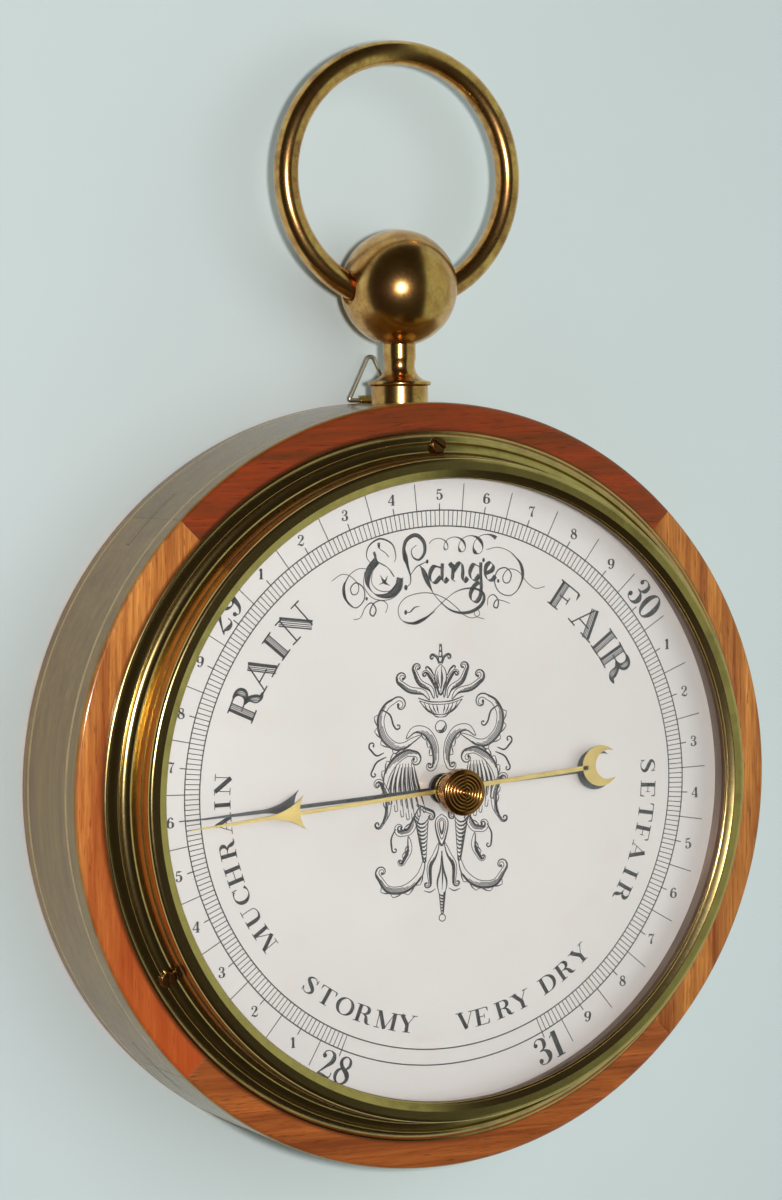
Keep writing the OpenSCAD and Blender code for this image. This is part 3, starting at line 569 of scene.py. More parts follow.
def window_glass(name):
    """Clear glass that lets the lamps' light through unbent, with a trace of haze."""
    m = Recipe(name)
    haze = m.noise(m.place, 30.0, 3.0)
    m.set(Base_Color=(0.985, 0.992, 0.99), Roughness=m.span(haze, 0.4, 0.7, 0.0, 0.012), IOR=1.5,
          Transmission_Weight=1.0)
    path = m.node("ShaderNodeLightPath")
    straight = m.calc("MAXIMUM", path.outputs["Is Shadow Ray"], path.outputs["Is Diffuse Ray"])
    m.let_through(straight, (0.96, 0.97, 0.965))
    return m.material


def finishes():
    """Each finish: its slot, or None where it only goes on kept nodes, the function that makes its
    material, and what that is given."""
    f = finish()
    light, dark, red, inlay, key, panel, yellow, aged, pale, ink = (
        tuple(getattr(f, name)) for name in ("wood_light", "wood_dark", "wood_red", "inlay", "spline", "panel",
                                             "brass", "aged_brass", "dial", "ink"))
    middle = tuple(0.68 * a + 0.32 * b for a, b in zip(red, light))
    glue = (0.05, 0.025, 0.012), (0.02, 0.01, 0.006)
    return {
        "wood_top": ("teak_reddish", hardwood, red, shade(dark, 0.55), False, 1.3),
        "wood_right": ("teak", hardwood, shade(light, 0.88), shade(dark, 0.9), True, 2.7),
        "wood_bottom": ("teak", hardwood, middle, shade(dark, 0.8), False, 4.1),
        "wood_left": ("teak", hardwood, light, shade(dark, 1.2), True, 5.9, 0.6, 1.0, 0.85),
        "wood_spline": ("spline_wood", hardwood, key, shade(key, 0.6), False, 3.3, 0.3, 0),
        "wood_glue": ("spline_wood", hardwood, *glue, False, 2.2, 0.3, 0),
        "wood_inlay": ("pale_inlay", hardwood, inlay, shade(inlay, 0.72), False, 6.3, 0.1, 0),
        "wood_panel": (None, hardwood, panel, shade(panel, 0.45), True, 8.3, 0.15),
        "brass_bezel": ("polished_brass", brass, yellow, shade(yellow, 0.84), 0.4, (0.14, 0.21), 0.3, 0.4, 28.0,
                        0.35),
        "brass_pendant": ("aged_brass", brass, (0.80, 0.50, 0.16), shade(aged, 1.2), 0.8, (0.17, 0.30), 0.9, 1.9,
                          40.0, 0.15),
        "brass_knob": ("aged_brass", brass, aged, shade(aged, 0.7), 0.7, (0.18, 0.35), 0.4, 3.1),
        "brass_hand": ("polished_brass", brass, yellow, shade(yellow, 0.8), 0.3, (0.38, 0.5), 0.2, 5.0),
        "brass_plain": ("polished_brass", brass, shade(yellow, 0.9), shade(yellow, 0.7), 0.5, (0.22, 0.38), 0.3, 6.0),
        "brown_band": ("aged_brass", brass, (0.11, 0.055, 0.03), (0.06, 0.027, 0.014), 0.6, (0.3, 0.4), 0.3, 4.4),
        "brass_screw": ("aged_brass", brass, shade(aged, 0.6), shade(aged, 0.4), 0.8, (0.2, 0.4), 0.4, 7.0),
        "silver": ("silvered_metal", silvered, pale),
        "sight": ("silvered_metal", silvered, (0.17, 0.12, 0.08), 0.5),
        "ink": ("silvered_metal", ink_film, ink),
        "black_steel": ("black_steel", blackened_steel),
        "glass": ("clear_glass", window_glass),
        "steel": (None, plain_metal, (0.50, 0.49, 0.47), (0.36, 0.35, 0.34), 0.28, 1.0),
        "nickel": ("nickel_silver", plain_metal, (0.62, 0.57, 0.47), (0.48, 0.43, 0.34), 0.26, 3.0),
    }


STORE = {}


def material(key):
    """The named finish, made the first time it is asked for."""
    if key not in STORE:
        _, maker, *values = finishes()[key]
        STORE[key] = maker(key, *values)
    return STORE[key]


# Wooden drum

def drum_section(bore, rim, edge, depth, rebate, panel):
    """Closed section of the drum from the front of its bore round to the panel's rebate and back."""
    return profile(
        run([bore, depth], [rim - edge, depth]), arc([rim - edge, depth - edge], edge, 90, 0),
        walls((rim, depth - edge, 0.3), (rim, SHELF), (rim, edge)), arc([rim - edge, edge], edge, 0, -90),
        walls((rim - edge, 0), (rebate, 0), (rebate, panel), (bore, panel, 0.3), (bore, depth)))


def drum_segment(start, section, groove):
    """A quarter of the drum: its section carried through 90 degrees, drawn in by the groove's depth
    at both ends so that a fine line shows at each joint; a fan from the centre closes each end."""
    low, high = section.min(0), section.max(0)
    rim, line, clear, centre = high[0], 0.25, 0.012, (115.0, 20.0)
    near = np.array([0.0, 0.12, line, 0.8]) / rim
    between = np.linspace(clear, math.pi / 2 - clear, 118)
    a = math.radians(start) + np.concatenate([near, between, (math.pi / 2 - near)[::-1]])
    away = np.minimum(a - a[0], a[-1] - a) * rim
    drawn = groove * np.clip(1 - away / line, 0, 1)
    r = np.clip(section[:, :1], low[0] + drawn, high[0] - drawn)
    out = np.clip(section[:, 1:], low[1] + drawn, high[1] - drawn)
    return swept_sector(r, out, a, centre)


def sector_faces(r, out, a):
    """Faces of a part swept along angles on the dial's plane: x = r cos a, up = r sin a."""
    return grid_faces(face_point(r * np.cos(a), r * np.sin(a), out), True, False)


class BAROMETER_OT_drum(bpy.types.Operator):
    """Four hardwood segments with fine joint lines, pale inlay lines and spline keys"""
    bl_idname = "barometer.drum"
    bl_label = "Wooden drum"

    def execute(self, context):
        s = sizes()
        bore, rim = s.bore_radius / MM, s.drum_radius / MM
        rebate, panel = round(PANEL[1][0], 1) + 0.2, PANEL[1][2]
        section = drum_section(bore, rim, s.edge_round / MM, FACE_OUT, rebate, panel)
        groove = s.joint_groove / MM
        for side, start in (("right", -45), ("left", 135), ("bottom", 225), ("top", 45)):
            sector = drum_segment(start, section, groove)
            part = self.notched(*sector, rim) if side == "top" else sector_faces(*sector)
            solid("drum_" + side, [part], "case", "wood_" + side, ["case_segment_" + side], 32)
        lip = rim + 0.015
        for name in ("front", "rear"):
            low, high = (corner[2] for corner in reach("inlay_" + name))
            ring = walls((lip - 0.8, low), (lip, low), (lip, high), (lip - 0.8, high))
            solid("inlay_line_" + name, [dial_lathe(ring)], "case", "wood_inlay", ["inlay_" + name])
        solid("spline_keys", self.keys(rim, 0.03, 1.05, 11.0), "case", "wood_spline", ["case_splines"])
        solid("spline_glue", self.keys(rim, 0.015, 1.28, 11.3), "case", "wood_glue")
        return {"FINISHED"}

    def notched(self, r, out, a, rim):
        """The top segment with the strap's recess behind: near the middle its columns stand at a
        fixed x, and the columns of the recess keep clear of the back by the strap's thickness."""
        strap_low, strap_high = reach("hanger_strap")
        play, depth, side, flank = 0.05, 0.9, 0.95, 6.0
        half, low = strap_high[0] + play, strap_low[1] - play
        middle = np.abs(rim * np.cos(a)) < flank + 1
        first, inside = int(np.argmax(middle)), np.where(middle)[0]
        steps = np.array([flank, half, half, 0.0, -half, -half, -flank])
        cut = np.array([0, 0, 1, 1, 1, 0, 0], bool)
        r_c, out_c = (np.repeat(rows[:, first:first + 1], len(steps), 1) for rows in (r, out))
        edge = int(np.argmax((out_c[:, 0] < 1e-6) & (r_c[:, 0] < low)))
        r, out, r_c, out_c = (
            np.insert(rows, [edge, edge], value, 0)
            for rows, value in ((np.delete(r, inside, 1), low), (np.delete(out, inside, 1), 0.0),
                                (r_c, low), (out_c, 0.0)))
        deep = (r_c[:, 0] >= low - 1e-6) & (out_c[:, 0] < depth) & (np.arange(len(r_c)) != edge + 1)
        out_c = np.where(deep[:, None] & cut, np.maximum(out_c, depth), out_c)
        shelf = (r_c[:, 0] > rim - 5) & (out_c[:, 0] <= SHELF + 0.01)
        r_c = np.where(shelf[:, None] & cut, np.minimum(r_c, rim - side), r_c)
        x_c = np.broadcast_to(steps, r_c.shape)
        up_c = np.sqrt(r_c ** 2 - x_c ** 2)
        a = np.delete(a, inside)
        x, up, out = (np.concatenate([rows[:, :first], new, rows[:, first:]], 1)
                      for rows, new in ((r * np.cos(a), x_c), (r * np.sin(a), up_c), (out, out_c)))
        return grid_faces(face_point(x, up, out), True, False)

    def keys(self, rim, proud, half, long):
        """Four bars bent to the drum's round, one across each joint and a hair proud of the side."""
        inner, middle, top = rim - 1.2, FACE_OUT - 26.0, rim + proud
        bar = walls((inner, middle - half), (top, middle - half), (top, middle + half), (inner, middle + half))
        parts = []
        for joint in (45, 135, 225, 315):
            a = math.radians(joint) + np.linspace(-long, long, 25) / rim
            r, out = np.repeat(bar[:, :1], len(a), 1), np.repeat(bar[:, 1:], len(a), 1)
            parts.append(sector_faces(*swept_sector(r, out, a, (rim - 0.6, middle))))
        return parts


# Bezel, glass and dial

def bezel_section(rim, face, height):
    """Closed section of the bezel: thin foot, slope up to a sharp ridge, flat that sweeps up in a
    quarter ellipse, two steep ribs with a thin bead between, rounded shoulder, flat crown, and the
    lip that falls inwards to the glass."""
    s, top = height / 16.5, height + 0.7
    inner, cavity, under = rim - BEZEL_WIDTH, rim - 11.5, GLASS[1][2] - face
    turn = np.radians(np.linspace(4, 85, 26))
    sweep = np.stack([rim - 4.2 - 3.3 * np.sin(turn), s * (7.1 - 3.3 * np.cos(turn))], -1)
    rows = profile(
        [[cavity, 0], [rim - 0.15, 0]], arc([rim - 0.15, 0.15], 0.15, -90, 0, 3), [[rim, 0.7]],
        arc([rim - 0.3, 0.75], 0.3, 0, 70, 5), bulge([rim - 0.75, 1.25], [rim - 3.4, 3.95 * s], -0.2, 18),
        bulge([rim - 3.42, 4.0 * s], [rim - 4.13, 4.0 * s], -0.3, 11), sweep,
        bulge([rim - 7.5, 7.3 * s], [rim - 8.15, 11.0 * s], -0.06, 10),
        bulge([rim - 8.1, 11.1 * s], [rim - 8.14, 11.5 * s], -0.14, 6),
        bulge([rim - 8.15, 11.6 * s], [rim - 8.55, top - 1.7], -0.06, 10),
        bulge([rim - 8.55, top - 1.6], [rim - 9.9, top], -0.48, 16),
        run([rim - 10.0, top], [rim - 12.3, top + 0.02], 0.1), [[rim - 12.4, top]],
        bulge([rim - 12.5, top - 0.04], [rim - 14.4, top - 0.85], 0.03, 10),
        bulge([rim - 14.5, top - 1.2], [inner, top - 1.9], -0.16, 8),
        walls((inner, top - 1.9), (inner, under), (cavity, under, 0.3), (cavity, 0)))
    rows[:, 1] += face
    return rows


class BAROMETER_OT_bezel(bpy.types.Operator):
    """Turned brass bezel with three screws sunk in flat seats"""
    bl_idname = "barometer.bezel"
    bl_label = "Brass bezel"

    def execute(self, context):
        rim = sizes().bezel_radius / MM
        height = BEZEL[1][2] - FACE_OUT
        ring = rim - SCREW_INSET
        section = bezel_section(rim, FACE_OUT, round(height, 2))
        fine = np.linspace(-3.4, 3.4, 61) / ring
        coarse = around(480)
        for a in SCREW_ANGLES:
            gap = np.abs((coarse - a + np.pi) % (2 * np.pi) - np.pi)
            coarse = np.concatenate([coarse[gap > fine[-1] + 0.004], a + fine])
        a = np.sort(coarse % (2 * np.pi))
        halves = np.arange(0, len(section) - 1 + 1e-9, 0.5)
        r, out = (np.interp(halves, np.arange(len(section)), row)[:, None] + 0 * a for row in section.T)
        x, up = r * np.sin(a), r * np.cos(a)
        seat = FACE_OUT + 0.2 * height
        for a in SCREW_ANGLES:
            cx, cy = ring * math.sin(a), ring * math.cos(a)
            far = np.hypot(x - cx, up - cy)
            out = np.where((far < SEAT) & (out > seat), seat, out)
            rimmed = (far >= SEAT) & (far < SEAT_REACH) & (out > seat)
            pull = SEAT / np.maximum(far, 1e-6)
            x = np.where(rimmed, cx + (x - cx) * pull, x)
            up = np.where(rimmed, cy + (up - cy) * pull, up)
        solid("bezel_ring", [grid_faces(face_point(x, up, out), True, True)], "case", "brass_bezel", ["bezel"], 40)
        low, high, lip = GLASS[1][2] + 0.03, FACE_OUT + height - 1.25, rim - BEZEL_WIDTH
        band = profile(walls((lip - 0.1, low), (lip + 0.2, low), (lip + 0.2, high)),
                       bulge([lip + 0.2, high], [lip - 0.1, high], -0.08, 4),
                       run([lip - 0.1, high], [lip - 0.1, low]))
        solid("bezel_inner_band", [dial_lathe(band)], "case", "brown_band")
        self.screws(ring, seat)
        return {"FINISHED"}

    def screws(self, ring, seat):
        """Each head is a disc with two rounded halves on it, either side of the driver's slot."""
        outlines, bases = [], []
        head, shoulder, slot = 2.5, seat + 1.3, 0.32
        half = math.degrees(math.asin(slot / head))
        for k, a in enumerate(SCREW_ANGLES):
            centre = np.array([ring * math.sin(a), ring * math.cos(a)])
            bases.append(arc(centre, head + 0.1, 0, 360, 47)[:-1])
            for side in (0, 180):
                outlines.append(centre + turned(arc([0, 0], head, side + half, side + 180 - half, 24),
                                                35.0 + 25.0 * k))
        for name, shapes, low, high, replaced, bevel in (
                ("bezel_screw_bases", bases, seat, shoulder, ["bezel_screws"], (0.1, 2)),
                ("bezel_screw_heads", outlines, shoulder, seat + 2.15, (), (0.35, 4))):
            piece = add_piece(name, plate_mesh(name, shapes, low, high), "case", "brass_screw", replaced)
            round_edges(piece, *bevel)


class BAROMETER_OT_dial_stack(bpy.types.Operator):
    """Silvered dial, sight ring and flat glass"""
    bl_idname = "barometer.dial_stack"
    bl_label = "Dial and glass"

    def execute(self, context):
        rim = DIAL[1][0]
        low, high = DIAL[0][2], DIAL[1][2]
        disc = walls((3, low), (rim, low), (rim, high, 0.3), (3, high))
        solid("dial_face", [dial_lathe(disc)], "case", "silver", ["dial"])
        top, lip = GLASS[0][2], sizes().bezel_radius / MM - BEZEL_WIDTH + 1.2
        ring = profile([[rim - 1.1, high]], walls((rim, high), (rim, top), (lip, top)),
                       bulge([lip, top - 0.1], [lip - 0.15, top - 0.7], 0.05, 4),
                       run([lip, top - 0.8], [rim - 1.1, high + 0.1], 0.3))
        solid("sight_ring_silver", [dial_lathe(ring)], "case", "sight", ["sight_ring"])
        low, high, hole = GLASS[0][2], GLASS[1][2], 4.05
        pane = walls((hole, low), (rim, low), (rim, high, 0.3), (hole, high), (hole, low))
        solid("dial_glass", [dial_lathe(pane, 240)], "case", "glass", ["glass"])
        return {"FINISHED"}


# Printing on the dial: every mark is a stroke of rows (x, up, width), in millimetres

STEM, HAIR = 0.17, 0.036


def spline(rows, steps=9):
    """A smooth stroke through rows (x, y, width): on each span the cubic that passes through its
    ends with slopes taken from the rows before and after."""
    p = np.array(rows, float)
    before = np.concatenate([2 * p[:1] - p[1:2], p[:-2]])
    after = np.concatenate([p[2:], 2 * p[-1:] - p[-2:-1]])
    a, b = p[:-1, None], p[1:, None]
    slope_a, slope_b = (b[:, 0] - before)[:, None] / 2, (after - a[:, 0])[:, None] / 2
    t = np.linspace(0, 1, steps, endpoint=False)[None, :, None]
    curve = ((2 * t ** 3 - 3 * t ** 2 + 1) * a + (t ** 3 - 2 * t ** 2 + t) * slope_a
             + (3 * t ** 2 - 2 * t ** 3) * b + (t ** 3 - t ** 2) * slope_b)
    rows = np.concatenate([curve.reshape(-1, 3), p[-1:]])
    rows[:, 2] = np.maximum(rows[:, 2], 0.2 * p[:, 2].min())
    return rows


def bar(x0, y0, x1, y1, width=HAIR, end=None):
    """A straight stroke, which may narrow or widen to its end."""
    return np.array([[x0, y0, width], [x1, y1, width if end is None else end]], float)


def serif(x, level, half=0.17):
    """A level hairline at a letter's foot or head."""
    y = HAIR / 2 if level < 0.5 else level - HAIR / 2
    return bar(x - half, y, x + half, y)


def upright(x, width=STEM, feet=3):
    """A stem with a serif at its foot, its head, or both."""
    marks = [bar(x, 0, x, 1, width)]
    if feet & 1:
        marks.append(serif(x, 0))
    if feet & 2:
        marks.append(serif(x, 1))
    return marks


def bowl(x, y, rx, ry, start, end, thick=STEM):
    """Part of an oval, thick where it stands upright: the width follows |cos t| to the power 1.6."""
    t = np.radians(np.linspace(start, end, 28))
    return np.stack([x + rx * np.cos(t), y + ry * np.sin(t), HAIR + (thick - HAIR) * np.abs(np.cos(t)) ** 1.6], -1)


def dot(x, y, radius):
    """A filled disc as one short stroke whose width is the chord."""
    t = np.linspace(-1, 1, 9) * 0.999
    return np.stack([x + radius * t, y + 0 * t, 2 * radius * np.sqrt(1 - t ** 2) + 1e-4], -1)


def beak(x, y, drop):
    """The pointed end of a hairline arm."""
    return np.array([[x - 0.07, y - HAIR / 2, HAIR], [x - 0.02, y - 0.05 * np.sign(drop), 0.075],
                     [x, y - drop, 0.012]])


def letters():
    """Capitals and figures with thick stems and hairlines, one unit high: advance width and strokes."""
    s, h, c = STEM, HAIR, 1 - HAIR / 2
    arm = [bar(0.2, c, 0.64, c), beak(0.68, 1.0, 0.27)]
    mid = [bar(0.2, 0.5, 0.5, 0.5), bar(0.5, 0.64, 0.5, 0.36, 0.03)]
    six = [bowl(0.30, 0.30, 0.215, 0.285, 0, 360), spline([(0.46, 0.88, h), (0.33, 0.965, h), (0.17, 0.80, 0.11),
                                                           (0.10, 0.42, s), (0.12, 0.25, 0.12)]),
           dot(0.45, 0.85, 0.068)]
    return {
        "I": (0.42, upright(0.21)),
        "H": (0.92, [*upright(0.21), *upright(0.71), bar(0.21, 0.5, 0.71, 0.5)]),
        "N": (0.92, [bar(0.19, 0, 0.19, 1), bar(0.16, 1 - h, 0.73, 0, s + 0.02), bar(0.74, 0, 0.74, 1),
                     serif(0.15, 1, 0.12), serif(0.19, 0, 0.14), serif(0.74, 1, 0.14)]),
        "M": (1.12, [bar(0.18, 0, 0.18, 1), bar(0.20, 0.98, 0.53, 0.0, s), bar(0.53, 0.0, 0.87, 0.98, h),
                     *upright(0.90), serif(0.16, 1, 0.13), serif(0.18, 0, 0.13)]),
        "U": (0.90, [spline([(0.21, 1, s), (0.21, 0.36, s), (0.27, 0.10, 0.12), (0.46, 0.02, 0.05), (0.65, 0.12, h),
                             (0.70, 0.36, h), (0.70, 1, h)]), serif(0.21, 1), serif(0.70, 1, 0.13)]),
        "C": (0.80, [bowl(0.44, 0.5, 0.33, 0.482, 48, 318, s), bar(0.70, 0.99, 0.70, 0.66, 0.03, 0.055)]),
        "O": (0.88, [bowl(0.44, 0.5, 0.345, 0.482, 0, 360, s)]),
        "R": (0.88, [*upright(0.21), bar(0.21, c, 0.42, c), bowl(0.42, 0.755, 0.205, 0.227, 90, -90, s),
                     bar(0.21, 0.528, 0.42, 0.528), spline([(0.40, 0.52, h), (0.55, 0.42, 0.10), (0.62, 0.18, s),
                                                            (0.70, 0.04, 0.09), (0.84, 0.03, 0.02)])]),
        "A": (0.90, [bar(0.15, 0, 0.44, 0.99), bar(0.42, 1.0, 0.72, 0.0, s), bar(0.24, 0.33, 0.62, 0.33),
                     serif(0.15, 0, 0.13), serif(0.71, 0, 0.19)]),
        "S": (0.66, [spline([(0.54, 0.80, h), (0.42, 0.965, h), (0.22, 0.93, 0.07), (0.13, 0.75, 0.13),
                             (0.30, 0.56, 0.17), (0.49, 0.38, 0.16), (0.52, 0.19, 0.12), (0.38, 0.035, 0.05),
                             (0.20, 0.04, h), (0.09, 0.24, h)]), bar(0.555, 0.99, 0.555, 0.72, 0.03, 0.05),
                     bar(0.085, 0.01, 0.085, 0.28, 0.03, 0.05)]),
        "T": (0.82, [*upright(0.41, s, 1), bar(0.06, c, 0.76, c), beak(0.78, 1.0, 0.27),
                     beak(0.0, 1.0, 0.27) * [-1, 1, 1] + [0.04, 0, 0]]),
        "Y": (0.88, [bar(0.16, 1, 0.44, 0.44, s), bar(0.74, 1, 0.45, 0.44), bar(0.44, 0, 0.44, 0.48, s),
                     serif(0.16, 1), serif(0.74, 1, 0.13), serif(0.44, 0)]),
        "V": (0.88, [bar(0.17, 1, 0.45, 0.01, s), bar(0.45, 0.01, 0.73, 1), serif(0.17, 1), serif(0.73, 1, 0.13)]),
        "E": (0.78, upright(0.21) + arm + mid + [bar(0.2, h / 2, 0.64, h / 2), beak(0.69, 0.0, -0.28)]),
        "F": (0.74, upright(0.21) + arm + mid),
        "D": (0.90, [*upright(0.21), bar(0.2, c, 0.42, c), bowl(0.40, 0.5, 0.35, 0.482, 90, -90, s),
                     bar(0.2, h / 2, 0.42, h / 2)]),
        "0": (0.62, [bowl(0.31, 0.5, 0.215, 0.482, 0, 360)]),
        "1": (0.46, [bar(0.25, 0, 0.25, 0.98, s), serif(0.25, 0, 0.16), bar(0.07, 0.80, 0.24, 0.97)]),
        "2": (0.62, [dot(0.15, 0.76, 0.072), spline([(0.09, 0.76, 0.05), (0.15, 0.92, h), (0.31, 0.98, h),
                                                     (0.46, 0.88, 0.11), (0.47, 0.66, s - 0.02), (0.32, 0.42, 0.08),
                                                     (0.10, 0.10, h)]),
                     spline([(0.07, 0.05, h), (0.18, 0.12, 0.06), (0.32, 0.06, s - 0.03), (0.46, 0.05, 0.10),
                             (0.55, 0.13, h), (0.56, 0.27, h)])]),
        "3": (0.62, [dot(0.15, 0.80, 0.068), dot(0.14, 0.19, 0.078),
                     spline([(0.10, 0.82, 0.05), (0.18, 0.95, h), (0.30, 0.98, h), (0.44, 0.88, 0.11),
                             (0.44, 0.68, 0.13), (0.34, 0.56, 0.05), (0.22, 0.53, h)]),
                     spline([(0.22, 0.53, h), (0.38, 0.50, 0.06), (0.49, 0.32, s), (0.46, 0.12, 0.12),
                             (0.30, 0.015, h), (0.14, 0.06, h), (0.09, 0.18, 0.05)])]),
        "4": (0.64, [bar(0.43, 0, 0.43, 1.0, s - 0.02), bar(0.42, 0.99, 0.04, 0.27), bar(0.04, 0.27, 0.60, 0.27),
                     serif(0.43, 0, 0.15)]),
        "5": (0.62, [spline([(0.14, 0.97, 0.02), (0.30, 0.92, 0.12), (0.50, 0.98, 0.03)]),
                     bar(0.145, 0.97, 0.115, 0.52, h), spline([(0.115, 0.52, h), (0.24, 0.63, h), (0.42, 0.56, 0.10),
                                                               (0.50, 0.33, s), (0.45, 0.11, 0.11), (0.28, 0.015, h),
                                                               (0.14, 0.06, h), (0.09, 0.17, 0.05)]),
                     dot(0.14, 0.18, 0.074)]),
        "6": (0.62, six),
        "7": (0.60, [spline([(0.07, 0.74, h), (0.10, 0.93, 0.08), (0.26, 0.93, 0.13), (0.42, 0.90, 0.07),
                             (0.54, 0.97, h)]), spline([(0.54, 0.97, h), (0.38, 0.66, 0.05), (0.28, 0.32, 0.12),
                                                        (0.27, 0.02, s)])]),
        "8": (0.62, [bowl(0.31, 0.765, 0.165, 0.215, 0, 360, 0.10), bowl(0.31, 0.285, 0.215, 0.268, 0, 360, 0.12),
                     spline([(0.15, 0.80, 0.08), (0.22, 0.62, 0.12), (0.42, 0.44, 0.13), (0.52, 0.26, 0.10)])]),
        "9": (0.62, [q * [-1, -1, 1] + [0.62, 1, 0] for q in six]),
    }


LETTERS = letters()


def hatched(rows):
    """A thick stroke as fine lines side by side inside its outline; thin strokes stay as they are."""
    if rows[:, 2].max() < 0.09:
        return [rows * [1, 1, 1.2]]
    rows = rows * [1, 1, 1.6]
    way = np.gradient(rows[:, :2], axis=0)
    side = np.stack([-way[:, 1], way[:, 0]], -1) / np.maximum(np.hypot(*way.T), 1e-9)[:, None]
    widths = (0.04, 0.027, 0.027, 0.027, 0.07)
    shift = np.linspace(-0.5, 0.5, len(widths))[:, None, None] * (rows[:, 2:] - 0.03) * side
    return [np.column_stack([rows[:, :2] + s, np.minimum(rows[:, 2], w)]) for s, w in zip(shift, widths)]


def placed(rows, x, y, size, clockwise=0.0):
    """A stroke scaled, turned clockwise by degrees and set down at x, y on the dial."""
    spot = turned(rows[:, :2] * size, clockwise)
    return np.column_stack([spot[:, 0] + x, spot[:, 1] + y, rows[:, 2] * size])


def on_ring(text, radius, angle, size, inward=False, fine=False, thick=1.0, wide=1.0):
    """One letter or figure, or a few close together, centred at a clockwise angle on a ring; its
    foot is at the radius, towards the dial's middle, or towards the rim when inward."""
    start, marks = -sum(LETTERS[ch][0] for ch in text) / 2, []
    turn = angle + (180 if inward else 0)
    a = math.radians(angle)
    for ch in text:
        advance, strokes = LETTERS[ch]
        for rows in strokes:
            rows = (rows + [start, 0, 0]) * [wide, 1, 1]
            for part in (hatched(rows) if fine else [rows * [1, 1, thick]]):
                marks.append(placed(part, radius * math.sin(a), radius * math.cos(a), size, turn))
        start += advance
    return marks


def circle(radius, width, steps=360):
    """A round line about the dial's middle."""
    t = np.linspace(0, 2 * np.pi, steps + 1)
    return np.stack([radius * np.sin(t), radius * np.cos(t), width + 0 * t], -1)


def dial_angle(inches):
    """Clockwise angle of a pressure on the scale, in degrees."""
    return (inches - TOP_INCHES) * INCH


def radial(inches, inner, outer, width):
    """Straight marks across a ring at many pressures."""
    a = np.radians(dial_angle(inches))[:, None]
    r = np.array([[inner, outer]])
    return list(np.stack([r * np.sin(a), r * np.cos(a), np.full((len(a), 2), width)], -1))


def scale_marks():
    """Track of hundredths, long ticks at half tenths, short ticks and figures at tenths, and inches."""
    marks = [circle(TRACK_IN, 0.26), circle(TRACK_OUT, 0.26)]
    marks += radial(np.linspace(28, 31, 301), TRACK_IN, TRACK_OUT, 0.16)
    marks += radial(np.arange(30) * 0.1 + 28.05, TRACK_OUT, 98.9, 0.18)
    marks += radial(np.arange(31) * 0.1 + 28.0, TRACK_OUT, 92.3, 0.22)
    ring, size = 95.2, 3.4
    for tenth in range(1, 30):
        if tenth % 10:
            a = math.radians(dial_angle(28 + tenth / 10))
            advance, strokes = LETTERS[str(tenth % 10)]
            x, y = ring * math.sin(a) - advance * 2.1, ring * math.cos(a) - size / 2
            marks += [placed(rows * [1.25, 1, 0.9], x, y, size) for rows in strokes]
    for text, radius, angle in (("29", 91.7, -52.05), ("30", 91.7, 52.05), ("28", 100.7, -156.15),
                                ("31", 100.7, 156.15)):
        marks += on_ring(text, radius, angle, 9.2, inward=radius > 95, thick=0.72, wide=1.12)
    return marks


# Word, clockwise angle of each letter, radius, size, head towards the middle, hatched stems, width
WORDS = (
    ("FAIR", (37.1, 45.8, 53.1, 59.5), 71.0, 9.2, False, True, 1.45),
    ("RAIN", (293.9, 301.9, 309.5, 317.1), 70.8, 9.2, False, True, 1.45),
    ("MUCHRAIN", (234.6, 241.1, 246.7, 251.9, 258.2, 264.3, 268.9, 273.7), 74.5, 5.5, False, False, 1.45),
    ("SETFAIR", (87.3, 93.1, 98.8, 103.8, 108.8, 114.4, 119.5), 74.3, 5.5, False, False, 1.45),
    ("STORMY", (217.8, 212.7, 207.1, 201.7, 195.4, 189.7), 79.8, 5.6, True, False, 1.42),
    ("VERYDRY", (173.8, 169.3, 163.1, 158.0, 149.7, 144.2, 138.7), 79.7, 5.6, True, False, 1.42),
)


def weather_words():
    """The seven weather words but the top one, letter by letter at their angles."""
    marks = []
    for word, angles, radius, size, inward, fine, wide in WORDS:
        for ch, angle in zip(word, angles):
            marks += on_ring(ch, radius, angle, size, inward, fine, 1.1, wide)
    return marks


def pen(points, nib):
    """A broad-nib stroke: its width is the nib's width times a power of the sine of the angle
    between the stroke and the nib, and a hairline more."""
    rows = spline([(x, y, 1.0) for x, y in points], 12)
    way = np.gradient(rows[:, :2], axis=0)
    rows[:, 2] = 0.16 + nib * np.abs(np.sin(np.arctan2(way[:, 1], way[:, 0]) - math.radians(140))) ** 1.5
    return rows


def swell(points, width, thin=0.16, steps=12):
    """A hairline through points that swells to the width half way along."""
    rows = spline([(x, y, 1.0) for x, y in points], steps)
    t = np.linspace(0, 1, len(rows))
    rows[:, 2] = thin + (width - thin) * np.sin(np.pi * t) ** 2
    return rows


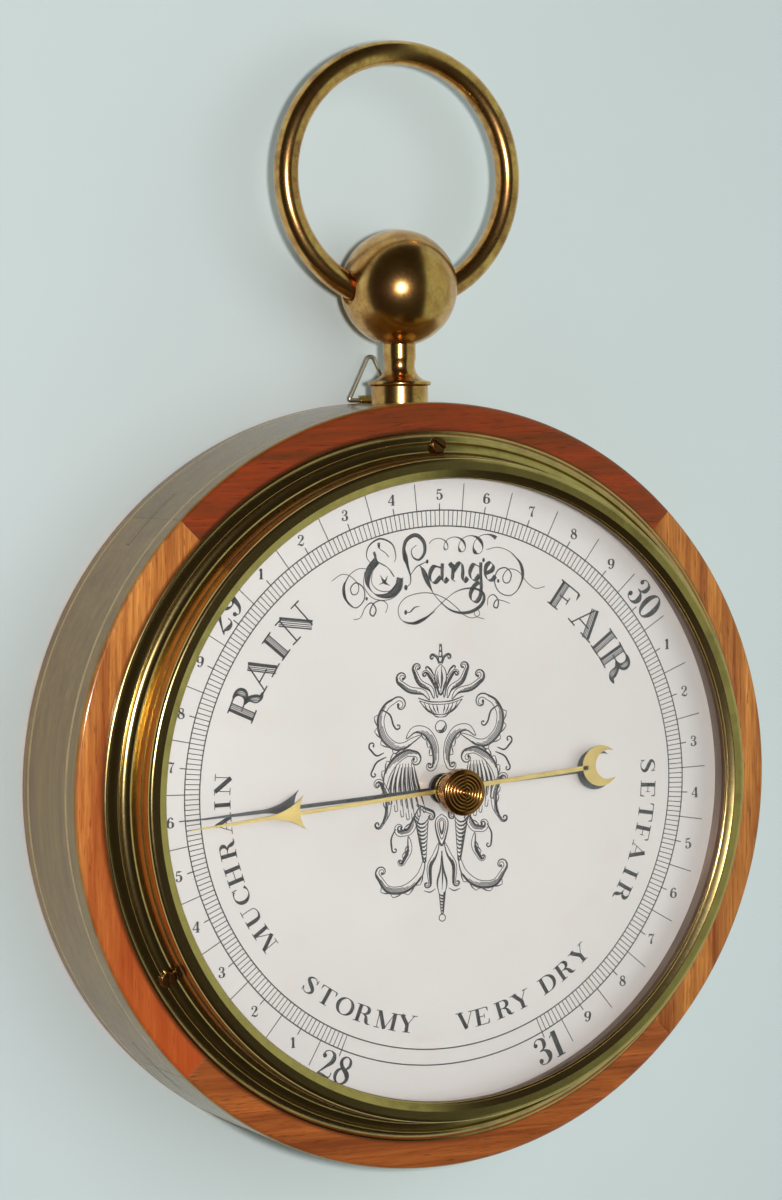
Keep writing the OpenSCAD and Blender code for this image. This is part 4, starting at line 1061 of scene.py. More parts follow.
def top_word():
    """The word between rain and fair, in round Gothic pen letters, with looped flourishes."""
    letters = [
        ([(-22.6, 74.4), (-25.4, 71.0), (-25.8, 66.6), (-22.9, 63.4), (-18.4, 63.1), (-15.2, 65.6), (-14.4, 68.6)],
         1.7),
        ([(-23.6, 77.2), (-22.4, 74.2), (-18.8, 72.0), (-16.4, 69.0)], 1.1),
        ([(-21.9, 80.1), (-21.6, 78.2), (-19.6, 76.8), (-18.3, 75.4)], 0.8),
        ([(0.4, 71.5), (-2.2, 71.9), (-3.6, 69.6), (-3.2, 67.4), (-1.7, 66.8), (0.3, 68.6)], 0.95),
        ([(0.9, 72.9), (0.8, 70.0), (0.9, 67.8), (1.7, 66.9), (2.9, 68.0)], 1.0),
        ([(3.4, 71.8), (4.6, 72.6), (4.7, 70.0), (4.6, 67.7), (5.5, 66.9)], 1.0),
        ([(4.8, 70.2), (6.6, 72.5), (7.9, 72.6), (8.3, 70.5), (8.2, 67.9), (8.9, 66.9), (10.1, 68.0)], 1.0),
        ([(14.2, 71.6), (12.2, 72.2), (10.9, 70.0), (11.3, 67.9), (12.8, 67.2), (14.4, 68.8)], 0.95),
        ([(14.9, 72.9), (14.8, 69.5), (15.0, 65.5), (14.6, 62.0), (13.2, 60.2), (11.4, 60.8), (11.1, 63.0),
          (12.6, 65.4), (14.4, 66.4)], 0.95),
        ([(16.9, 69.3), (18.9, 70.2), (19.4, 71.7), (18.3, 72.7), (16.8, 71.5), (16.5, 69.0), (17.4, 67.2),
          (19.0, 67.1), (20.2, 68.3)], 0.95),
    ]
    marks = [pen(points, nib) for points, nib in letters]
    marks += [dot(21.2, 66.7, 0.45), dot(-4.6, 73.6, 0.5), dot(15.9, 73.6, 0.5), dot(-12.3, 65.4, 0.62),
              dot(-26.3, 62.2, 0.42), dot(-12.4, 57.4, 0.55)]
    marks += [
        swell([(-24.1, 71.6), (-24.4, 67.2), (-22.0, 64.8), (-18.4, 64.4), (-16.1, 66.2), (-15.4, 68.6)], 0.2),
        swell([(-26.9, 70.8), (-27.2, 66.2), (-23.8, 62.2), (-18.0, 61.8), (-14.0, 64.8), (-13.3, 68.8)], 0.2),
        swell([(-21.4, 69.6), (-20.0, 67.4), (-18.0, 66.2)], 0.7, 0.1),
        swell([(-21.8, 66.6), (-19.8, 67.6), (-18.8, 69.4)], 0.5, 0.1),
        swell([(-23.8, 72.6), (-26.2, 75.6), (-25.2, 79.2), (-21.4, 81.3), (-17.2, 79.6), (-15.8, 75.8),
               (-16.3, 73.8)], 0.42),
        swell([(-8.4, 79.0), (-10.2, 77.4), (-9.6, 75.1), (-7.4, 74.3), (-5.5, 76.6), (-5.8, 80.0), (-8.6, 82.2),
               (-12.0, 80.6), (-13.0, 76.6), (-11.7, 72.4), (-10.6, 69.0), (-10.8, 66.6), (-12.2, 65.5)], 0.95),
        swell([(-12.6, 78.6), (-12.4, 75.0), (-11.0, 71.4)], 1.25, 0.2),
        swell([(-10.9, 69.0), (-8.6, 71.8), (-6.6, 72.8), (-4.7, 73.6)], 0.3),
        swell([(-7.2, 72.4), (-6.0, 70.6), (-4.2, 66.6), (-2.4, 63.2)], 1.3, 0.2),
        swell([(-2.4, 63.2), (0.0, 60.6), (3.4, 57.9), (7.2, 56.7), (11.4, 57.0), (14.8, 58.9), (16.0, 61.4),
               (14.8, 63.6), (10.8, 64.6), (5.8, 63.6), (1.2, 60.6)], 0.85),
        swell([(1.2, 60.6), (-3.4, 56.8), (-7.6, 54.4), (-11.4, 53.7), (-14.4, 55.6), (-15.0, 59.0), (-12.6, 62.0),
               (-8.0, 63.4), (-3.0, 63.3), (2.0, 61.4), (6.0, 58.4), (8.6, 56.0), (11.6, 54.9), (14.2, 55.8),
               (13.8, 57.4), (12.4, 57.0), (13.0, 55.4), (16.0, 54.4)], 0.2),
        swell([(-2.0, 57.4), (-5.6, 55.2), (-9.6, 53.8), (-13.2, 54.6)], 0.85, 0.15),
        swell([(-12.4, 57.4), (-10.8, 57.5), (-9.2, 58.9), (-7.4, 59.2)], 0.35),
        swell([(17.0, 77.0), (21.6, 77.6), (26.6, 75.4), (30.0, 70.6), (29.6, 65.4), (26.0, 61.9), (21.8, 62.9),
               (19.9, 66.4), (21.0, 70.0), (24.0, 70.9), (26.0, 68.8), (25.2, 66.2), (23.4, 66.2), (23.0, 68.2),
               (25.0, 70.4), (28.6, 69.6), (32.0, 65.8), (35.0, 63.9), (38.4, 64.4)], 0.3),
        swell([(26.0, 75.8), (29.4, 72.2), (30.2, 67.6), (28.2, 63.4)], 0.8, 0.12),
        swell([(-38.6, 68.2), (-35.0, 70.2), (-31.8, 69.4), (-29.2, 66.6), (-29.6, 64.0), (-31.4, 63.8),
               (-31.9, 65.8), (-30.0, 67.4), (-27.4, 65.6), (-27.2, 62.0), (-30.0, 59.4), (-33.2, 61.2),
               (-34.4, 65.4), (-32.6, 69.6), (-28.8, 71.9), (-24.6, 71.4)], 0.3),
        swell([(-31.2, 59.8), (-33.8, 62.4), (-34.3, 66.4), (-32.4, 69.8)], 0.8, 0.12),
        swell([(-31.0, 55.6), (-28.6, 56.2), (-26.8, 59.4), (-24.6, 60.8), (-23.0, 58.6), (-24.0, 56.6),
               (-25.2, 57.8), (-23.8, 60.6), (-21.0, 61.5), (-18.9, 60.0), (-19.6, 57.4)], 0.36),
        swell([(17.2, 58.8), (17.6, 61.4), (19.6, 62.2), (21.2, 60.2), (20.8, 58.0), (19.5, 58.5), (20.4, 60.4),
               (22.8, 60.2), (25.4, 59.2)], 0.36),
    ]
    t = np.linspace(-1.6, 6.3 * np.pi, 190)
    reach_of = 1.7 + 1.6 * np.clip(t, 0, None) / (6 * np.pi)
    x, y = -0.6 + 0.93 * t + reach_of * np.sin(t), 79.3 - 0.035 * t + reach_of * np.cos(t)
    way = np.arctan2(np.gradient(y), np.gradient(x))
    marks.append(np.stack([x, y, 0.16 + 0.75 * np.abs(np.sin(way - 0.7)) ** 6 * (reach_of - 1.5) / 1.6], -1))
    return marks


def limb(points, thick, volute, dark=1, spurs=(), lines=3, tail=0.0):
    """A scroll limb: a path that ends in a volute, whose heading turns at a steady rate while its
    radius shrinks to a fifth. Both edges are drawn, the darker one on the shaded side, with
    fine lines of shade beside it and pointed spurs on it; the thickness swells and falls along it."""
    path = spline([(x, y, 1.0) for x, y in points], 10)[:, :2]
    radius, turns, side = volute
    t = np.linspace(0, 1, 34)
    last = path[-1] - path[-2]
    spin = math.atan2(last[1], last[0]) + side * 2 * math.pi * turns * t
    step = (radius * (1 - 0.8 * t) * 2 * math.pi * turns / len(t))[:, None]
    path = np.concatenate([path, path[-1] + np.cumsum(step * np.stack([np.cos(spin), np.sin(spin)], -1), 0)])
    gone = np.concatenate([[0], np.cumsum(np.hypot(*np.diff(path, axis=0).T))])
    t = gone / gone[-1]
    way = np.gradient(path, axis=0)
    way /= np.maximum(np.hypot(*way.T), 1e-9)[:, None]
    out = np.stack([-way[:, 1], way[:, 0]], -1) * dark
    half = thick / 2 * (tail + (1 - tail) * np.sin(np.pi * np.clip(t, 0, 1) ** 0.75) ** 0.8)[:, None]
    line = lambda share, width: np.column_stack([path + out * half * share, width + 0 * t])
    marks = [line(1, 0.24 + 0.2 * np.sin(np.pi * t)), line(-1, 0.19)]
    for k in range(lines):
        part = slice(int(len(t) * (0.14 + 0.05 * k)), int(len(t) * (0.66 - 0.07 * k)))
        marks.append(line(0.62 - 0.36 * k, 0.1 + 0.09 * np.sin(np.pi * t))[part])
    for at in spurs:
        k = int(np.searchsorted(t, at))
        size = 0.9 + 0.45 * thick
        a, b = (path + out * half)[[max(k - 3, 0), min(k + 4, len(t) - 1)]]
        tip = path[k] + out[k] * (half[k] + 0.62 * size) + way[k] * size * 0.75
        marks += [swell([a, (a + tip) / 2 + out[k] * 0.12 * size, tip], 0.3, 0.14, 5), swell([tip, b], 0.2, 0.14, 6)]
    marks.append(dot(path[-1, 0], path[-1, 1], 0.2 * radius))
    return marks


def husks(x, top, bottom, wide, narrow, count, lean=0.0):
    """A tapering row of nested cups, each a short arc with a darker side, between two edges."""
    marks = [bar(x + side * wide / 2, top + 0.5, x + lean + side * narrow / 2, bottom, width)
             for side, width in ((-1, 0.2), (1, 0.3))]
    for k in range(count):
        t = k / (count - 1)
        y, half, mid = top + (bottom - top) * t, (wide + (narrow - wide) * t) / 2, x + lean * t
        for cup, width, thin, steps in ((((-1.15, 0.5), (-0.4, -0.3), (0.4, -0.3), (1.2, 0.6)), 0.42, 0.16, 5),
                                        (((1.1, 0.9), (0.4, 0.1)), 0.4, 0.12, 4)):
            marks.append(swell([(mid + u * half, y + v * half) for u, v in cup], width, thin, steps))
    return marks


def oval(x, y, rx, up, down, width):
    """A drop: round above and pointed below."""
    return swell([(x, y + up), (x + rx * 0.8, y + up * 0.6), (x + rx, y), (x + rx * 0.6, y - down * 0.6),
                  (x, y - down), (x - rx * 0.6, y - down * 0.6), (x - rx, y), (x - rx * 0.8, y + up * 0.6),
                  (x, y + up)], width, 0.18, 8)


def half_ornament():
    """Right half of the middle ornament: a basket of leaves, paired scrolls, husks and tendrils."""
    m = []
    for points, thick, volute in (
            ([(1.2, 29.4), (1.6, 33.0), (3.6, 36.4), (4.6, 37.6)], 1.2, (1.2, 0.9, -1)),
            ([(2.4, 29.2), (3.6, 32.4), (7.4, 34.6), (9.4, 38.4)], 1.7, (1.5, 0.9, 1)),
            ([(4.0, 28.8), (6.2, 31.4), (11.0, 32.4), (14.4, 34.6)], 1.9, (1.9, 0.95, 1)),
            ([(0.5, 40.4), (1.2, 42.6), (2.2, 43.3)], 0.5, (1.1, 0.9, -1)),
            ([(2.4, 36.6), (3.4, 38.4), (4.4, 39.4)], 0.0, (0.7, 0.7, -1))):
        m += limb(points, thick, volute, -1, (), 3 if thick > 1 else 0)
    m += [swell([(0, 28.0), (4.0, 28.3), (8.2, 29.6)], 0.34, 0.24), swell([(0, 27.2), (3.8, 27.5), (7.8, 28.7)], 0.2,
                                                                          0.15),
          swell([(0, 23.9), (2.2, 24.2), (5.0, 25.6), (7.8, 28.7)], 0.44, 0.2),
          swell([(0, 23.1), (1.6, 23.3), (3.0, 24.2)], 0.3, 0.16)]
    m += [swell([(x, 27.3 + 0.02 * x * x), (0.82 * x, 25.8), (0.55 * x, 24.3 + 0.02 * x * x)], 0.34, 0.14,
                5) for x in (1.5, 3.0, 4.5, 6.0)]
    m += limb([(7.0, 17.6), (10.4, 16.0), (13.4, 14.4), (17.0, 14.6), (20.6, 18.0), (21.6, 23.0), (19.6, 27.2),
               (16.4, 29.2)], 2.5, (2.3, 0.95, 1), -1, (0.24, 0.34, 0.44, 0.54), 4)
    m += limb([(21.4, 26.4), (18.4, 24.6), (17.2, 21.4), (16.6, 20.4)], 0.0, (1.2, 0.8, -1), 1, (), 0)
    m += limb([(12.6, 16.6), (9.6, 19.4), (5.4, 18.6), (2.6, 14.6), (1.9, 10.0), (2.4, 7.6)], 2.6, (1.7, 0.9, 1), 1,
              (0.3, 0.45, 0.58), 4)
    m += limb([(20.4, 0.6), (19.4, 5.4), (16.6, 9.4), (12.6, 11.8), (9.8, 11.6)], 2.4, (2.0, 0.95, 1), -1,
              (0.16, 0.28, 0.4, 0.5), 4, 0.1)
    for x0, x1, x2, y2 in ((8.6, 7.8, 5.6, -7.4), (9.4, 9.2, 7.6, -8.6), (10.4, 10.8, 9.6, -9.6),
                           (11.4, 12.4, 11.6, -9.4),
                           (12.4, 14.0, 13.6, -8.4), (13.4, 15.8, 15.8, -6.6), (14.6, 17.4, 17.8, -4.0)):
        m.append(swell([(x0 + 1.4, 8.6), (x1 + 0.8, 2.2), (x2, y2)], 0.6, 0.15))
        m.append(swell([(x0 + 1.9, 7.4), (x1 + 1.4, 1.0), (x2 + 0.9, y2 + 3.4)], 0.26, 0.1))
        m.append(swell([(x2, y2), (x2 + 0.9, y2 - 0.1), (x2 + 1.3, y2 + 2.0)], 0.24, 0.14, 5))
    m += limb([(20.6, 12.4), (23.2, 11.6), (25.4, 13.6)], 0.0, (1.5, 0.8, 1), 1, (), 0)
    m += limb([(19.8, 11.0), (23.2, 9.4), (25.0, 6.4)], 0.0, (1.2, 0.8, -1), 1, (), 0)
    m += limb([(21.2, -10.6), (19.4, -7.0), (19.2, -2.2), (21.2, 2.4)], 1.9, (1.7, 0.95, -1), -1, (0.3, 0.45), 3)
    m += limb([(19.6, -5.0), (19.8, -8.4), (21.6, -11.2)], 0.6, (1.5, 0.95, 1), 1, (), 0)
    m += limb([(16.6, -12.4), (18.2, -15.6), (18.0, -19.0)], 0.0, (1.1, 0.8, -1), 1, (), 0)
    m += limb([(7.6, -5.6), (9.0, -9.0), (11.4, -13.2), (14.2, -14.0)], 2.2, (1.9, 0.95, 1), 1, (0.4,), 3)
    m += limb([(9.0, -5.0), (6.6, -6.4), (3.8, -7.6)], 1.2, (1.4, 0.9, 1), -1, (), 2)
    m += husks(7.2, -10.4, -23.6, 4.6, 1.0, 11, -0.9)
    m += limb([(6.2, -22.6), (8.2, -28.0), (13.2, -31.8), (19.2, -31.8), (22.8, -27.6)], 2.3, (1.9, 0.95, 1), -1,
              (0.2, 0.34, 0.48, 0.6), 4, 0.08)
    m += limb([(12.0, -15.0), (11.6, -19.4), (13.8, -23.4)], 1.5, (1.2, 0.85, 1), 1, (0.3, 0.45), 3)
    m += limb([(1.0, -17.6), (2.6, -21.6), (4.6, -25.4), (4.4, -30.6)], 1.5, (1.2, 0.9, 1), -1, (), 3)
    m += [swell([(0.1, -20.4), (0.5, -26.0), (1.7, -30.6), (1.1, -34.4)], 0.5, 0.16),
          swell([(2.4, -32.6), (4.4, -33.6), (6.6, -33.0)], 0.3)]
    return m


def ornament():
    """The middle ornament: its right half, the same in a mirror, and the pieces on the centre line."""
    right = half_ornament()
    m = right + [rows * [-1, 1, 1] for rows in right]
    m += [oval(0, 35.4, 2.1, 5.0, 5.0, 0.5), swell([(0.2, 39.6), (0.5, 35.6), (0, 31.2)], 0.6, 0.12),
          swell([(-1.0, 38.0), (-0.9, 35.0), (0, 32.4)], 0.34, 0.1), swell([(-1.5, 37.0), (-1.4, 35.0), (-0.6, 32.4)],
                                                                           0.24, 0.1)]
    m += husks(0, 46.4, 41.2, 0.5, 1.5, 4)
    m += [circle(2.0, 0.24, 22) + [0, 20.0, 0], swell([(-1.2, 19.0), (0.3, 18.5), (1.5, 19.6)], 0.8, 0.15),
          swell([(0.4, 19.2), (1.3, 19.8), (1.6, 20.8)], 0.4, 0.1)]
    m += [oval(0, -12.0, 2.3, 3.6, 6.6, 0.5), oval(0, -12.0, 1.5, 2.4, 4.6, 0.22), oval(0, -11.8, 0.8, 1.6, 3.0, 0.5)]
    m += husks(0, -34.6, -40.8, 2.2, 0.7, 7)
    m += [circle(1.15, 0.24, 18) + [0, -42.2, 0], swell([(0, -22.0), (0.2, -28.0), (0, -33.0)], 0.4, 0.12)]
    return m


def printed(name, marks, weight=1.0, least=0.2):
    """Strokes as thin films on the dial: each row widens to two points, half its width to either
    side of the path, and the film is thickened down to the dial."""
    out, parts = DIAL[1][2] + sizes().ink_height / MM, []
    for rows in marks:
        way = np.gradient(rows[:, :2], axis=0)
        left = np.stack([-way[:, 1], way[:, 0]], -1) / np.maximum(np.hypot(*way.T), 1e-9)[:, None]
        half = left * np.maximum(rows[:, 2:] * weight, least) / 2
        edges = np.stack([rows[:, :2] - half, rows[:, :2] + half], 1)
        parts.append(grid_faces(face_point(edges[..., 0], edges[..., 1], out)))
    piece = add_piece(name, make_mesh(name, *join(*parts)), "case", "ink")
    film = piece.modifiers.new("Film", "SOLIDIFY")
    film.thickness = sizes().ink_height
    film.offset = -1


class BAROMETER_OT_print(bpy.types.Operator):
    """Scale, weather words and ornament printed on the dial"""
    bl_idname = "barometer.print"
    bl_label = "Dial printing"

    def execute(self, context):
        printed("dial_scale", scale_marks(), 1.6, 0.28)
        printed("dial_words", weather_words(), 1.25)
        printed("dial_change", top_word(), 1.4, 0.24)
        printed("dial_ornament", ornament(), 1.4, 0.24)
        return {"FINISHED"}


# Hands and knob

def hand_outlines(tip, barb_at, tail):
    """Outline of a hand that points up: needle, swallow-tailed arrow and shaft in one, the crescent
    tail between an outer circle and an inner one that is set back."""
    half, barb = 0.72, 5.4
    neck = barb_at + 15.1
    right = profile([[0.13, tip], [0.60, neck]], bulge([0.62, neck], [barb, barb_at], -1.5, 16),
                    bulge([barb, barb_at], [0.58, barb_at + 1.8], -0.43, 8), [[half, 0], [half, 4.9 - tail]])
    arrow = np.concatenate([right, right[::-1] * [-1, 1]])
    outer, inner, shift = 6.7, 4.9, 2.9
    a = math.degrees(math.acos((outer ** 2 + shift ** 2 - inner ** 2) / (2 * outer * shift)))
    b = math.degrees(math.atan2(-outer * math.cos(math.radians(a)) + shift, outer * math.sin(math.radians(a))))
    crescent = np.concatenate([arc([0, -tail], outer, -90 + a, 270 - a, 60),
                               arc([0, -tail - shift], inner, 180 - b, b, 44)])
    return [arrow, crescent]


class BAROMETER_OT_hands(bpy.types.Operator):
    """Black indicator hand, brass set hand, and the turned knob with its bush"""
    bl_idname = "barometer.hands"
    bl_label = "Hands and knob"

    def execute(self, context):
        s = sizes()
        tip = s.bezel_radius / MM - 25.0
        shapes = hand_outlines(tip, 0.566 * tip, 0.62 * tip)
        for name, node, value, body, key, sunk, proud in (
                ("indicator", "indicator_hand", s.reading, "pointer", "black_steel", -0.4, 1.0),
                ("marker", "set_hand", s.set_reading, "set_hand", "brass_hand", -0.2, 0.7)):
            low = reach(node)[0][2]
            foot = low - sunk
            mesh = plate_mesh(name + "_arrow", [turned(o, dial_angle(value)) for o in shapes], foot, foot + 0.5)
            round_edges(add_piece(name + "_arrow", mesh, body, key, [node]), 0.11, 2)
            hub = profile(walls((0.4, low), (5, low), (5, foot + proud - 0.15)),
                          run([4.85, foot + proud], [0.4, foot + proud]))
            solid(name + "_boss", [dial_lathe(hub, 96)], body, key)
        self.knob(s.knob_radius / MM)
        return {"FINISHED"}

    def knob(self, rim):
        """The knob's face falls gently to its edge in six turned rings, as raised rounds."""
        top, low = KNOB[1][2], KNOB[0][2]
        base = top - 5.3 - 0.26
        t = np.linspace(0, 1, 241)[:, None]
        wave = np.abs(np.sin(np.pi * 6.0 * t)) ** 0.7
        face = np.concatenate([(rim - 0.85) * (1 - t), base + 4.95 + 0.42 * t + 0.30 * wave], 1)
        section = profile(
            [[0, low]], walls((2, low), (2, base - 2.4), (3.2, base - 2.4), (3.2, base), (rim - 1.4, base)),
            bulge([rim - 1.4, base], [rim - 0.1, base + 1.2], -0.3, 8), run([rim, base + 1.5], [rim, base + 4.2]),
            bulge([rim, base + 4.3], [rim - 0.85, base + 5.0], -0.22, 8), face)
        solid("knob", [dial_lathe(section, 128)], "set_hand", "brass_knob", ["set_knob"], 50)
        low, high = (corner[2] for corner in reach("glass_bush"))
        bore, flange = 2.05, high - 0.8
        bush = profile(walls((bore, low), (4, low), (4, flange), (5.5, flange), (5.5, high - 0.2)),
                       walls((5.3, high), (bore, high), (bore, low)))
        solid("stem_bush", [dial_lathe(bush, 96)], "case", "brass_plain", ["glass_bush"])


# Pendant, bow and hanger

class BAROMETER_OT_pendant(bpy.types.Operator):
    """Turned foot, flared neck, ball and bow"""
    bl_idname = "barometer.pendant"
    bl_label = "Pendant and bow"

    def execute(self, context):
        s = sizes()
        rim, ball = s.drum_radius / MM, s.ball_radius / MM
        rod, bow = s.rod_radius / MM, s.bow_radius / MM
        ball_up, bore = BALL[1][1] - ball, STUD_BORE
        top, flat = rim + 5.6, ball_up - 0.917 * ball + 0.8
        foot = profile(walls((bore, rim - 0.6), (9.35, rim - 0.6), (9.35, top - 0.3)),
                       arc([9.05, top - 0.3], 0.3, 0, 90, 4), run([9.05, top], [bore, top]))
        neck = profile(run([bore, top], [10.1, top]), bulge([10.2, top + 0.1], [10.2, top + 1.3], -0.2, 8),
                       bulge([9.5, top + 1.4], [5.35, rim + 14.5], 2.1, 24),
                       walls((5.35, rim + 14.5, 0.3), (5.35, flat), (bore, flat)))
        for name, section, node in (("pendant_foot_ring", foot, "pendant_foot"),
                                    ("pendant_neck_turned", neck, "pendant_neck")):
            solid(name, [post_lathe(section, PEND_OUT)], "case", "brass_pendant", [node])
        self.ball(ball, ball_up, 0.9 * ball, rod + 1.6)
        self.bow(bow, rod, ball_up, 0.9 * ball)
        return {"FINISHED"}

    def ball(self, radius, up, seat, bore):
        """A sphere turned about the x axis, with a flat-bottomed seat at each end for the bow."""
        lift = math.degrees(math.asin(bore / radius))
        wall = math.sqrt(radius ** 2 - bore ** 2)
        section = profile(walls((0, seat), (bore, seat), (bore, wall - 0.15)),
                          [[bore + 0.15, math.sqrt(radius ** 2 - (bore + 0.15) ** 2)]])
        sphere = arc([0, 0], radius, 90 - lift - 1.2, -90 + lift + 1.2, 110)
        section = profile(section, sphere, section[::-1] * [1, -1])
        a = around(192)
        r, x = section[:, :1], section[:, 1:]
        grid = face_point(x + 0 * a, up + r * np.cos(a), PEND_OUT + r * np.sin(a))
        solid("pendant_ball_turned", [grid_faces(grid, False, True)], "case", "brass_pendant", ["pendant_ball"], 40)

    def bow(self, radius, rod, up, seat):
        """A ring of round rod cut off flat beside the ball: at ring radius q the ring stops where
        its x reaches the cut, at the angle arcsine of cut over q; pins run on into the ball."""
        centre = up + math.sqrt(radius ** 2 - seat ** 2)
        cut = seat + 0.15
        psi = around(48)[None, :]
        q = radius + rod * np.cos(psi)
        stop = np.arcsin(cut / q)
        t = np.linspace(0, 1, 321)[:, None]
        phi = stop + (2 * np.pi - 2 * stop) * t
        height = centre - math.sqrt(radius ** 2 - cut ** 2)
        flat = np.ones((1, psi.shape[1]))
        x, up_all, out = (np.concatenate([first * flat, rows, last * flat]) for first, rows, last in (
            (-cut, -q * np.sin(phi), cut), (height, centre - q * np.cos(phi), height),
            (PEND_OUT, PEND_OUT + rod * np.sin(psi) + 0 * t, PEND_OUT)))
        parts = [grid_faces(face_point(x, up_all, out), False, True)]
        for side in (-1.0, 1.0):
            path = [[side * x, up, PEND_OUT] for x in (seat - 9.1, seat - 3, seat + 1.2)]
            parts.append(tube(path, 2.5, 32))
        solid("bow_ring", parts, "bow", "brass_pendant", ["bow"], 40)


def rounded_loop(corners, radius, n):
    """A closed path through corners, each rounded by a curve from one side to the other at the
    given distance: (1-t)^2 p + 2t(1-t) c + t^2 q."""
    corners = np.asarray(corners, float)
    p, q = (corners + (near - corners) / np.linalg.norm(near - corners, axis=1)[:, None] * radius
            for near in (np.roll(corners, 1, 0), np.roll(corners, -1, 0)))
    t = np.linspace(0, 1, n)[None, :, None]
    curve = (1 - t) ** 2 * p[:, None] + 2 * t * (1 - t) * corners[:, None] + t ** 2 * q[:, None]
    return curve.reshape(-1, corners.shape[1])


class BAROMETER_OT_hanger(bpy.types.Operator):
    """Bent wire hanger behind the pendant"""
    bl_idname = "barometer.hanger"
    bl_label = "Wire hanger"

    def execute(self, context):
        low, high = WIRE
        r = sizes().wire_radius / MM
        half, base, top = high[0] - r, low[1] + r, high[1] - r
        out = (low[2] + high[2]) / 2
        corners = [[-half, base, out], [-1.0, top, out], [1.0, top, out], [half, base, out]]
        path = rounded_loop(corners, 0.95, 9)
        longer = np.concatenate([path, path[:1]])
        steps = np.concatenate([[0], np.cumsum(np.linalg.norm(np.diff(longer, axis=0), axis=1))])
        at = np.linspace(0, steps[-1], 140, endpoint=False)
        path = np.stack([np.interp(at, steps, longer[:, k]) for k in range(3)], -1)
        solid("hanger_loop_wire", [tube(path, r, 18, closed=True)], "hanger", "nickel", ["hanger_wire"])
        return {"FINISHED"}


# Finishes on the nodes that are kept

KEPT = {
    "wood_panel": ["back_panel"],
    "brass_plain": ["hanger_strap", "dial_seat_ring", "bush_nut", "base_plate", "top_plate", "pillars",
                    "spindle_cock", "hairspring_stud", "shaft_bearings", "adjuster_bush", "pendant_stud",
                    "pendant_washer", "pendant_nut"],
    "brass_screw": ["hanger_screws", "back_panel_screws"],
    "steel": ["plate_screws", "top_plate_screws", "bridge_screws", "hairspring", "pointer_spindle", "rocking_shaft",
              "connecting_link", "main_lever", "mainspring", "chain", "adjusting_screw", "capsule_post"],
    "nickel": ["vacuum_capsule", "spring_bridge"],
}


class BAROMETER_OT_movement(bpy.types.Operator):
    """Metal and wood finishes on the movement, fixings and back"""
    bl_idname = "barometer.movement"
    bl_label = "Movement and back"

    def execute(self, context):
        for key, nodes in KEPT.items():
            for node in nodes:
                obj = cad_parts[node]
                obj.data.materials.clear()
                obj.data.materials.append(material(key))
        return {"FINISHED"}


# Stage

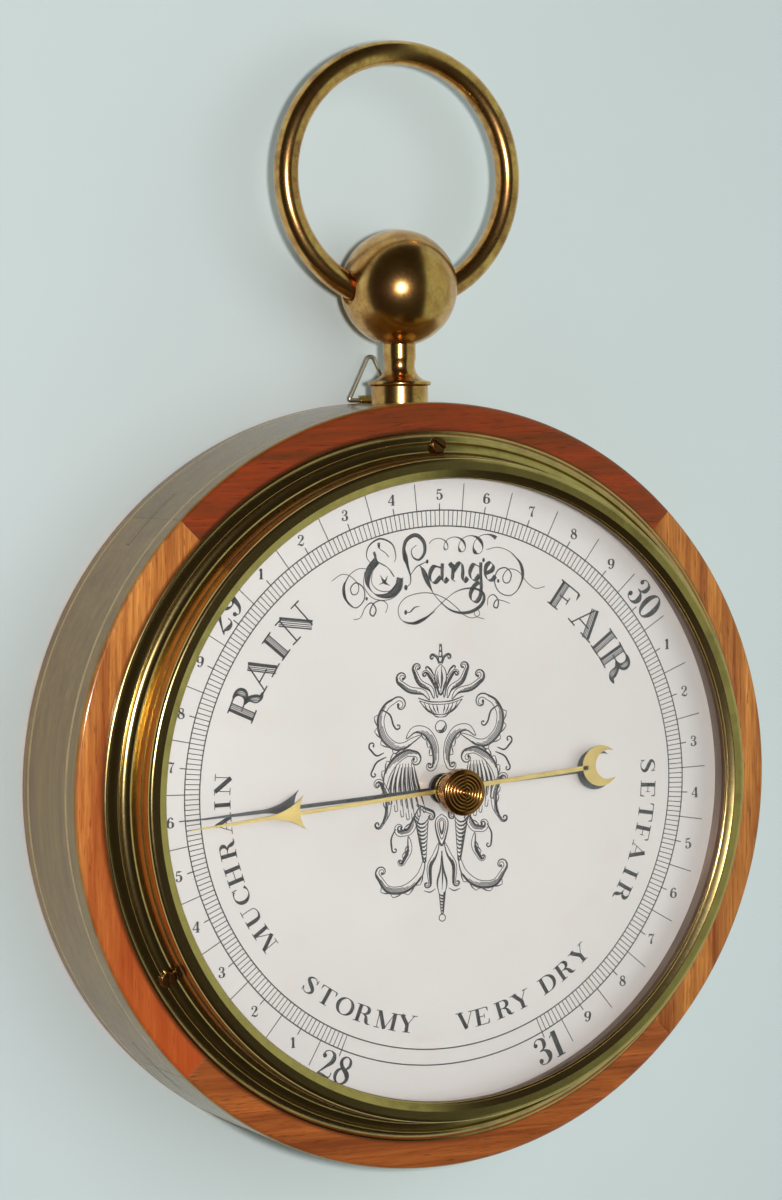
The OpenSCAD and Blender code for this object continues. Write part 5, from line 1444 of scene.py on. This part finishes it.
class BAROMETER_OT_stage(bpy.types.Operator):
    """Pale wall and floor, soft lamps and the camera"""
    bl_idname = "barometer.stage"
    bl_label = "Stage"

    def execute(self, context):
        scene = context.scene
        for name, rows in (("backdrop", [[0.0, 2.4], [0.0, 0.6], [0.0, -0.6], [0.0, -1.2]]),
                           ("floor", [[0.0, -1.2], [-1.0, -1.2], [-3.0, -1.2], [-6.0, -1.2]])):
            y, z = np.array(rows).T[:, :, None]
            grid = np.stack(np.broadcast_arrays(np.linspace(-3, 3, 25)[None, :], y + 0.0006, z), -1)
            mesh = make_mesh(name, *grid_faces(grid), 60)
            plane = bpy.data.objects.new(name, mesh)
            scene.collection.objects.link(plane)
            mesh.materials.append(self.plaster(name))
            plane.visible_glossy = name == "backdrop"
        self.lamp("key", (-0.443, -1.182, 0.13), (0.0, -0.03, 0.03), 0.07, 9.4, (1.0, 0.985, 0.96))
        for lamp in (self.lamp("fill", (0.6, -2.0, 0.3), (0.0, 0.0, 0.0), 2.0, 15.0, (0.93, 0.98, 1.0)),
                     self.lamp("behind", (0.0, 2.2, 0.04), (0.0, 0.0, 0.02), 0.25, 36.0, (1.0, 0.98, 0.95))):
            lamp.visible_glossy = False
        self.room()
        self.camera()
        scene.view_settings.view_transform = "Standard"
        return {"FINISHED"}

    def plaster(self, name):
        """Painted wall, faintly clouded, seen from its front only and no bar to the lamp behind it."""
        m = Recipe("plaster_" + name)
        cloud = m.noise(m.place, 5.0, 4.0)
        paint = tuple(finish().wall)
        m.set(Base_Color=m.blend(m.span(cloud, 0.35, 0.7), paint, shade(paint, 0.96)), Roughness=0.85,
              Specular_IOR_Level=0.2)
        m.let_through(m.calc("MAXIMUM", m.node("ShaderNodeNewGeometry").outputs["Backfacing"],
                             m.node("ShaderNodeLightPath").outputs["Is Shadow Ray"]))
        return m.material

    def stand(self, name, data, eye, right, up, back):
        """Links a lamp or camera at a point, with its right, up and backward directions."""
        obj = bpy.data.objects.new(name, data)
        bpy.context.scene.collection.objects.link(obj)
        obj.matrix_world = Matrix(np.vstack([np.column_stack([right, up, back, eye]), [0, 0, 0, 1]]).tolist())
        return obj

    def lamp(self, name, place, aim, size, power, colour):
        """A round lamp that looks at a point."""
        data = bpy.data.lights.new(name, "AREA")
        data.shape = "DISK"
        data.size = size
        data.energy = power
        data.color = colour
        eye, target = np.array(place), np.array(aim)
        back = (eye - target) / np.linalg.norm(eye - target)
        right = np.cross([0, 0, 1.0], back)
        right /= np.linalg.norm(right)
        return self.stand(name, data, eye, right, np.cross(back, right), back)

    def room(self):
        """A dark room with a pale side on the right: the colour goes by how far right a ray heads."""
        world = bpy.data.worlds.new("room")
        bpy.context.scene.world = world
        world.use_nodes = True
        tree = world.node_tree
        shader = tree.nodes["Background"]
        spot = tree.nodes.new("ShaderNodeTexCoord")
        apart = tree.nodes.new("ShaderNodeSeparateXYZ")
        ramp = tree.nodes.new("ShaderNodeValToRGB")
        dark, pale = (0.026, 0.020, 0.012, 1), (0.44, 0.54, 0.44, 1)
        for stop, place, colour in zip(ramp.color_ramp.elements, (0.46, 0.54), (dark, pale)):
            stop.position, stop.color = place, colour
        tree.links.new(spot.outputs["Generated"], apart.inputs[0])
        tree.links.new(apart.outputs[0], ramp.inputs["Fac"])
        tree.links.new(ramp.outputs["Color"], shader.inputs["Color"])

    def camera(self):
        """The viewpoint and lens of the photograph."""
        data = bpy.data.cameras.new("camera")
        data.sensor_fit = "VERTICAL"
        data.sensor_height = 36.0
        data.lens = 112.38
        right, up = np.array([0.8994, -0.4370, -0.0075]), np.array([0.0284, 0.0413, 0.9987])
        eye = (-0.5425, -1.1336, 0.1212)
        bpy.context.scene.camera = self.stand("camera", data, eye, right, up, np.cross(right, up))


class BAROMETER_PT_panel(bpy.types.Panel):
    """Lists the pieces, sizes and colours of the barometer"""
    bl_idname = "BAROMETER_PT_panel"
    bl_label = "Barometer"
    bl_space_type = "VIEW_3D"
    bl_region_type = "UI"
    bl_category = "Barometer"

    def draw(self, context):
        for operator in OPERATORS:
            self.layout.operator(operator.bl_idname)
        for group in (context.scene.barometer_sizes, context.scene.barometer_finish):
            box = self.layout.box()
            for key in group.__annotations__:
                box.prop(group, key)


OPERATORS = (BAROMETER_OT_drum, BAROMETER_OT_bezel, BAROMETER_OT_dial_stack, BAROMETER_OT_print,
             BAROMETER_OT_hands, BAROMETER_OT_pendant, BAROMETER_OT_hanger, BAROMETER_OT_movement,
             BAROMETER_OT_stage)
CLASSES = (BarometerSizes, BarometerFinish, *OPERATORS, BAROMETER_PT_panel)


def register():
    for cls in CLASSES:
        bpy.utils.register_class(cls)
    bpy.types.Scene.barometer_sizes = PointerProperty(type=BarometerSizes)
    bpy.types.Scene.barometer_finish = PointerProperty(type=BarometerFinish)


def unregister():
    del bpy.types.Scene.barometer_finish
    del bpy.types.Scene.barometer_sizes
    for cls in reversed(CLASSES):
        bpy.utils.unregister_class(cls)


def main():
    register()
    for operator in OPERATORS:
        group, name = operator.bl_idname.split(".")
        getattr(getattr(bpy.ops, group), name)()


if __name__ == "__main__":
    main()
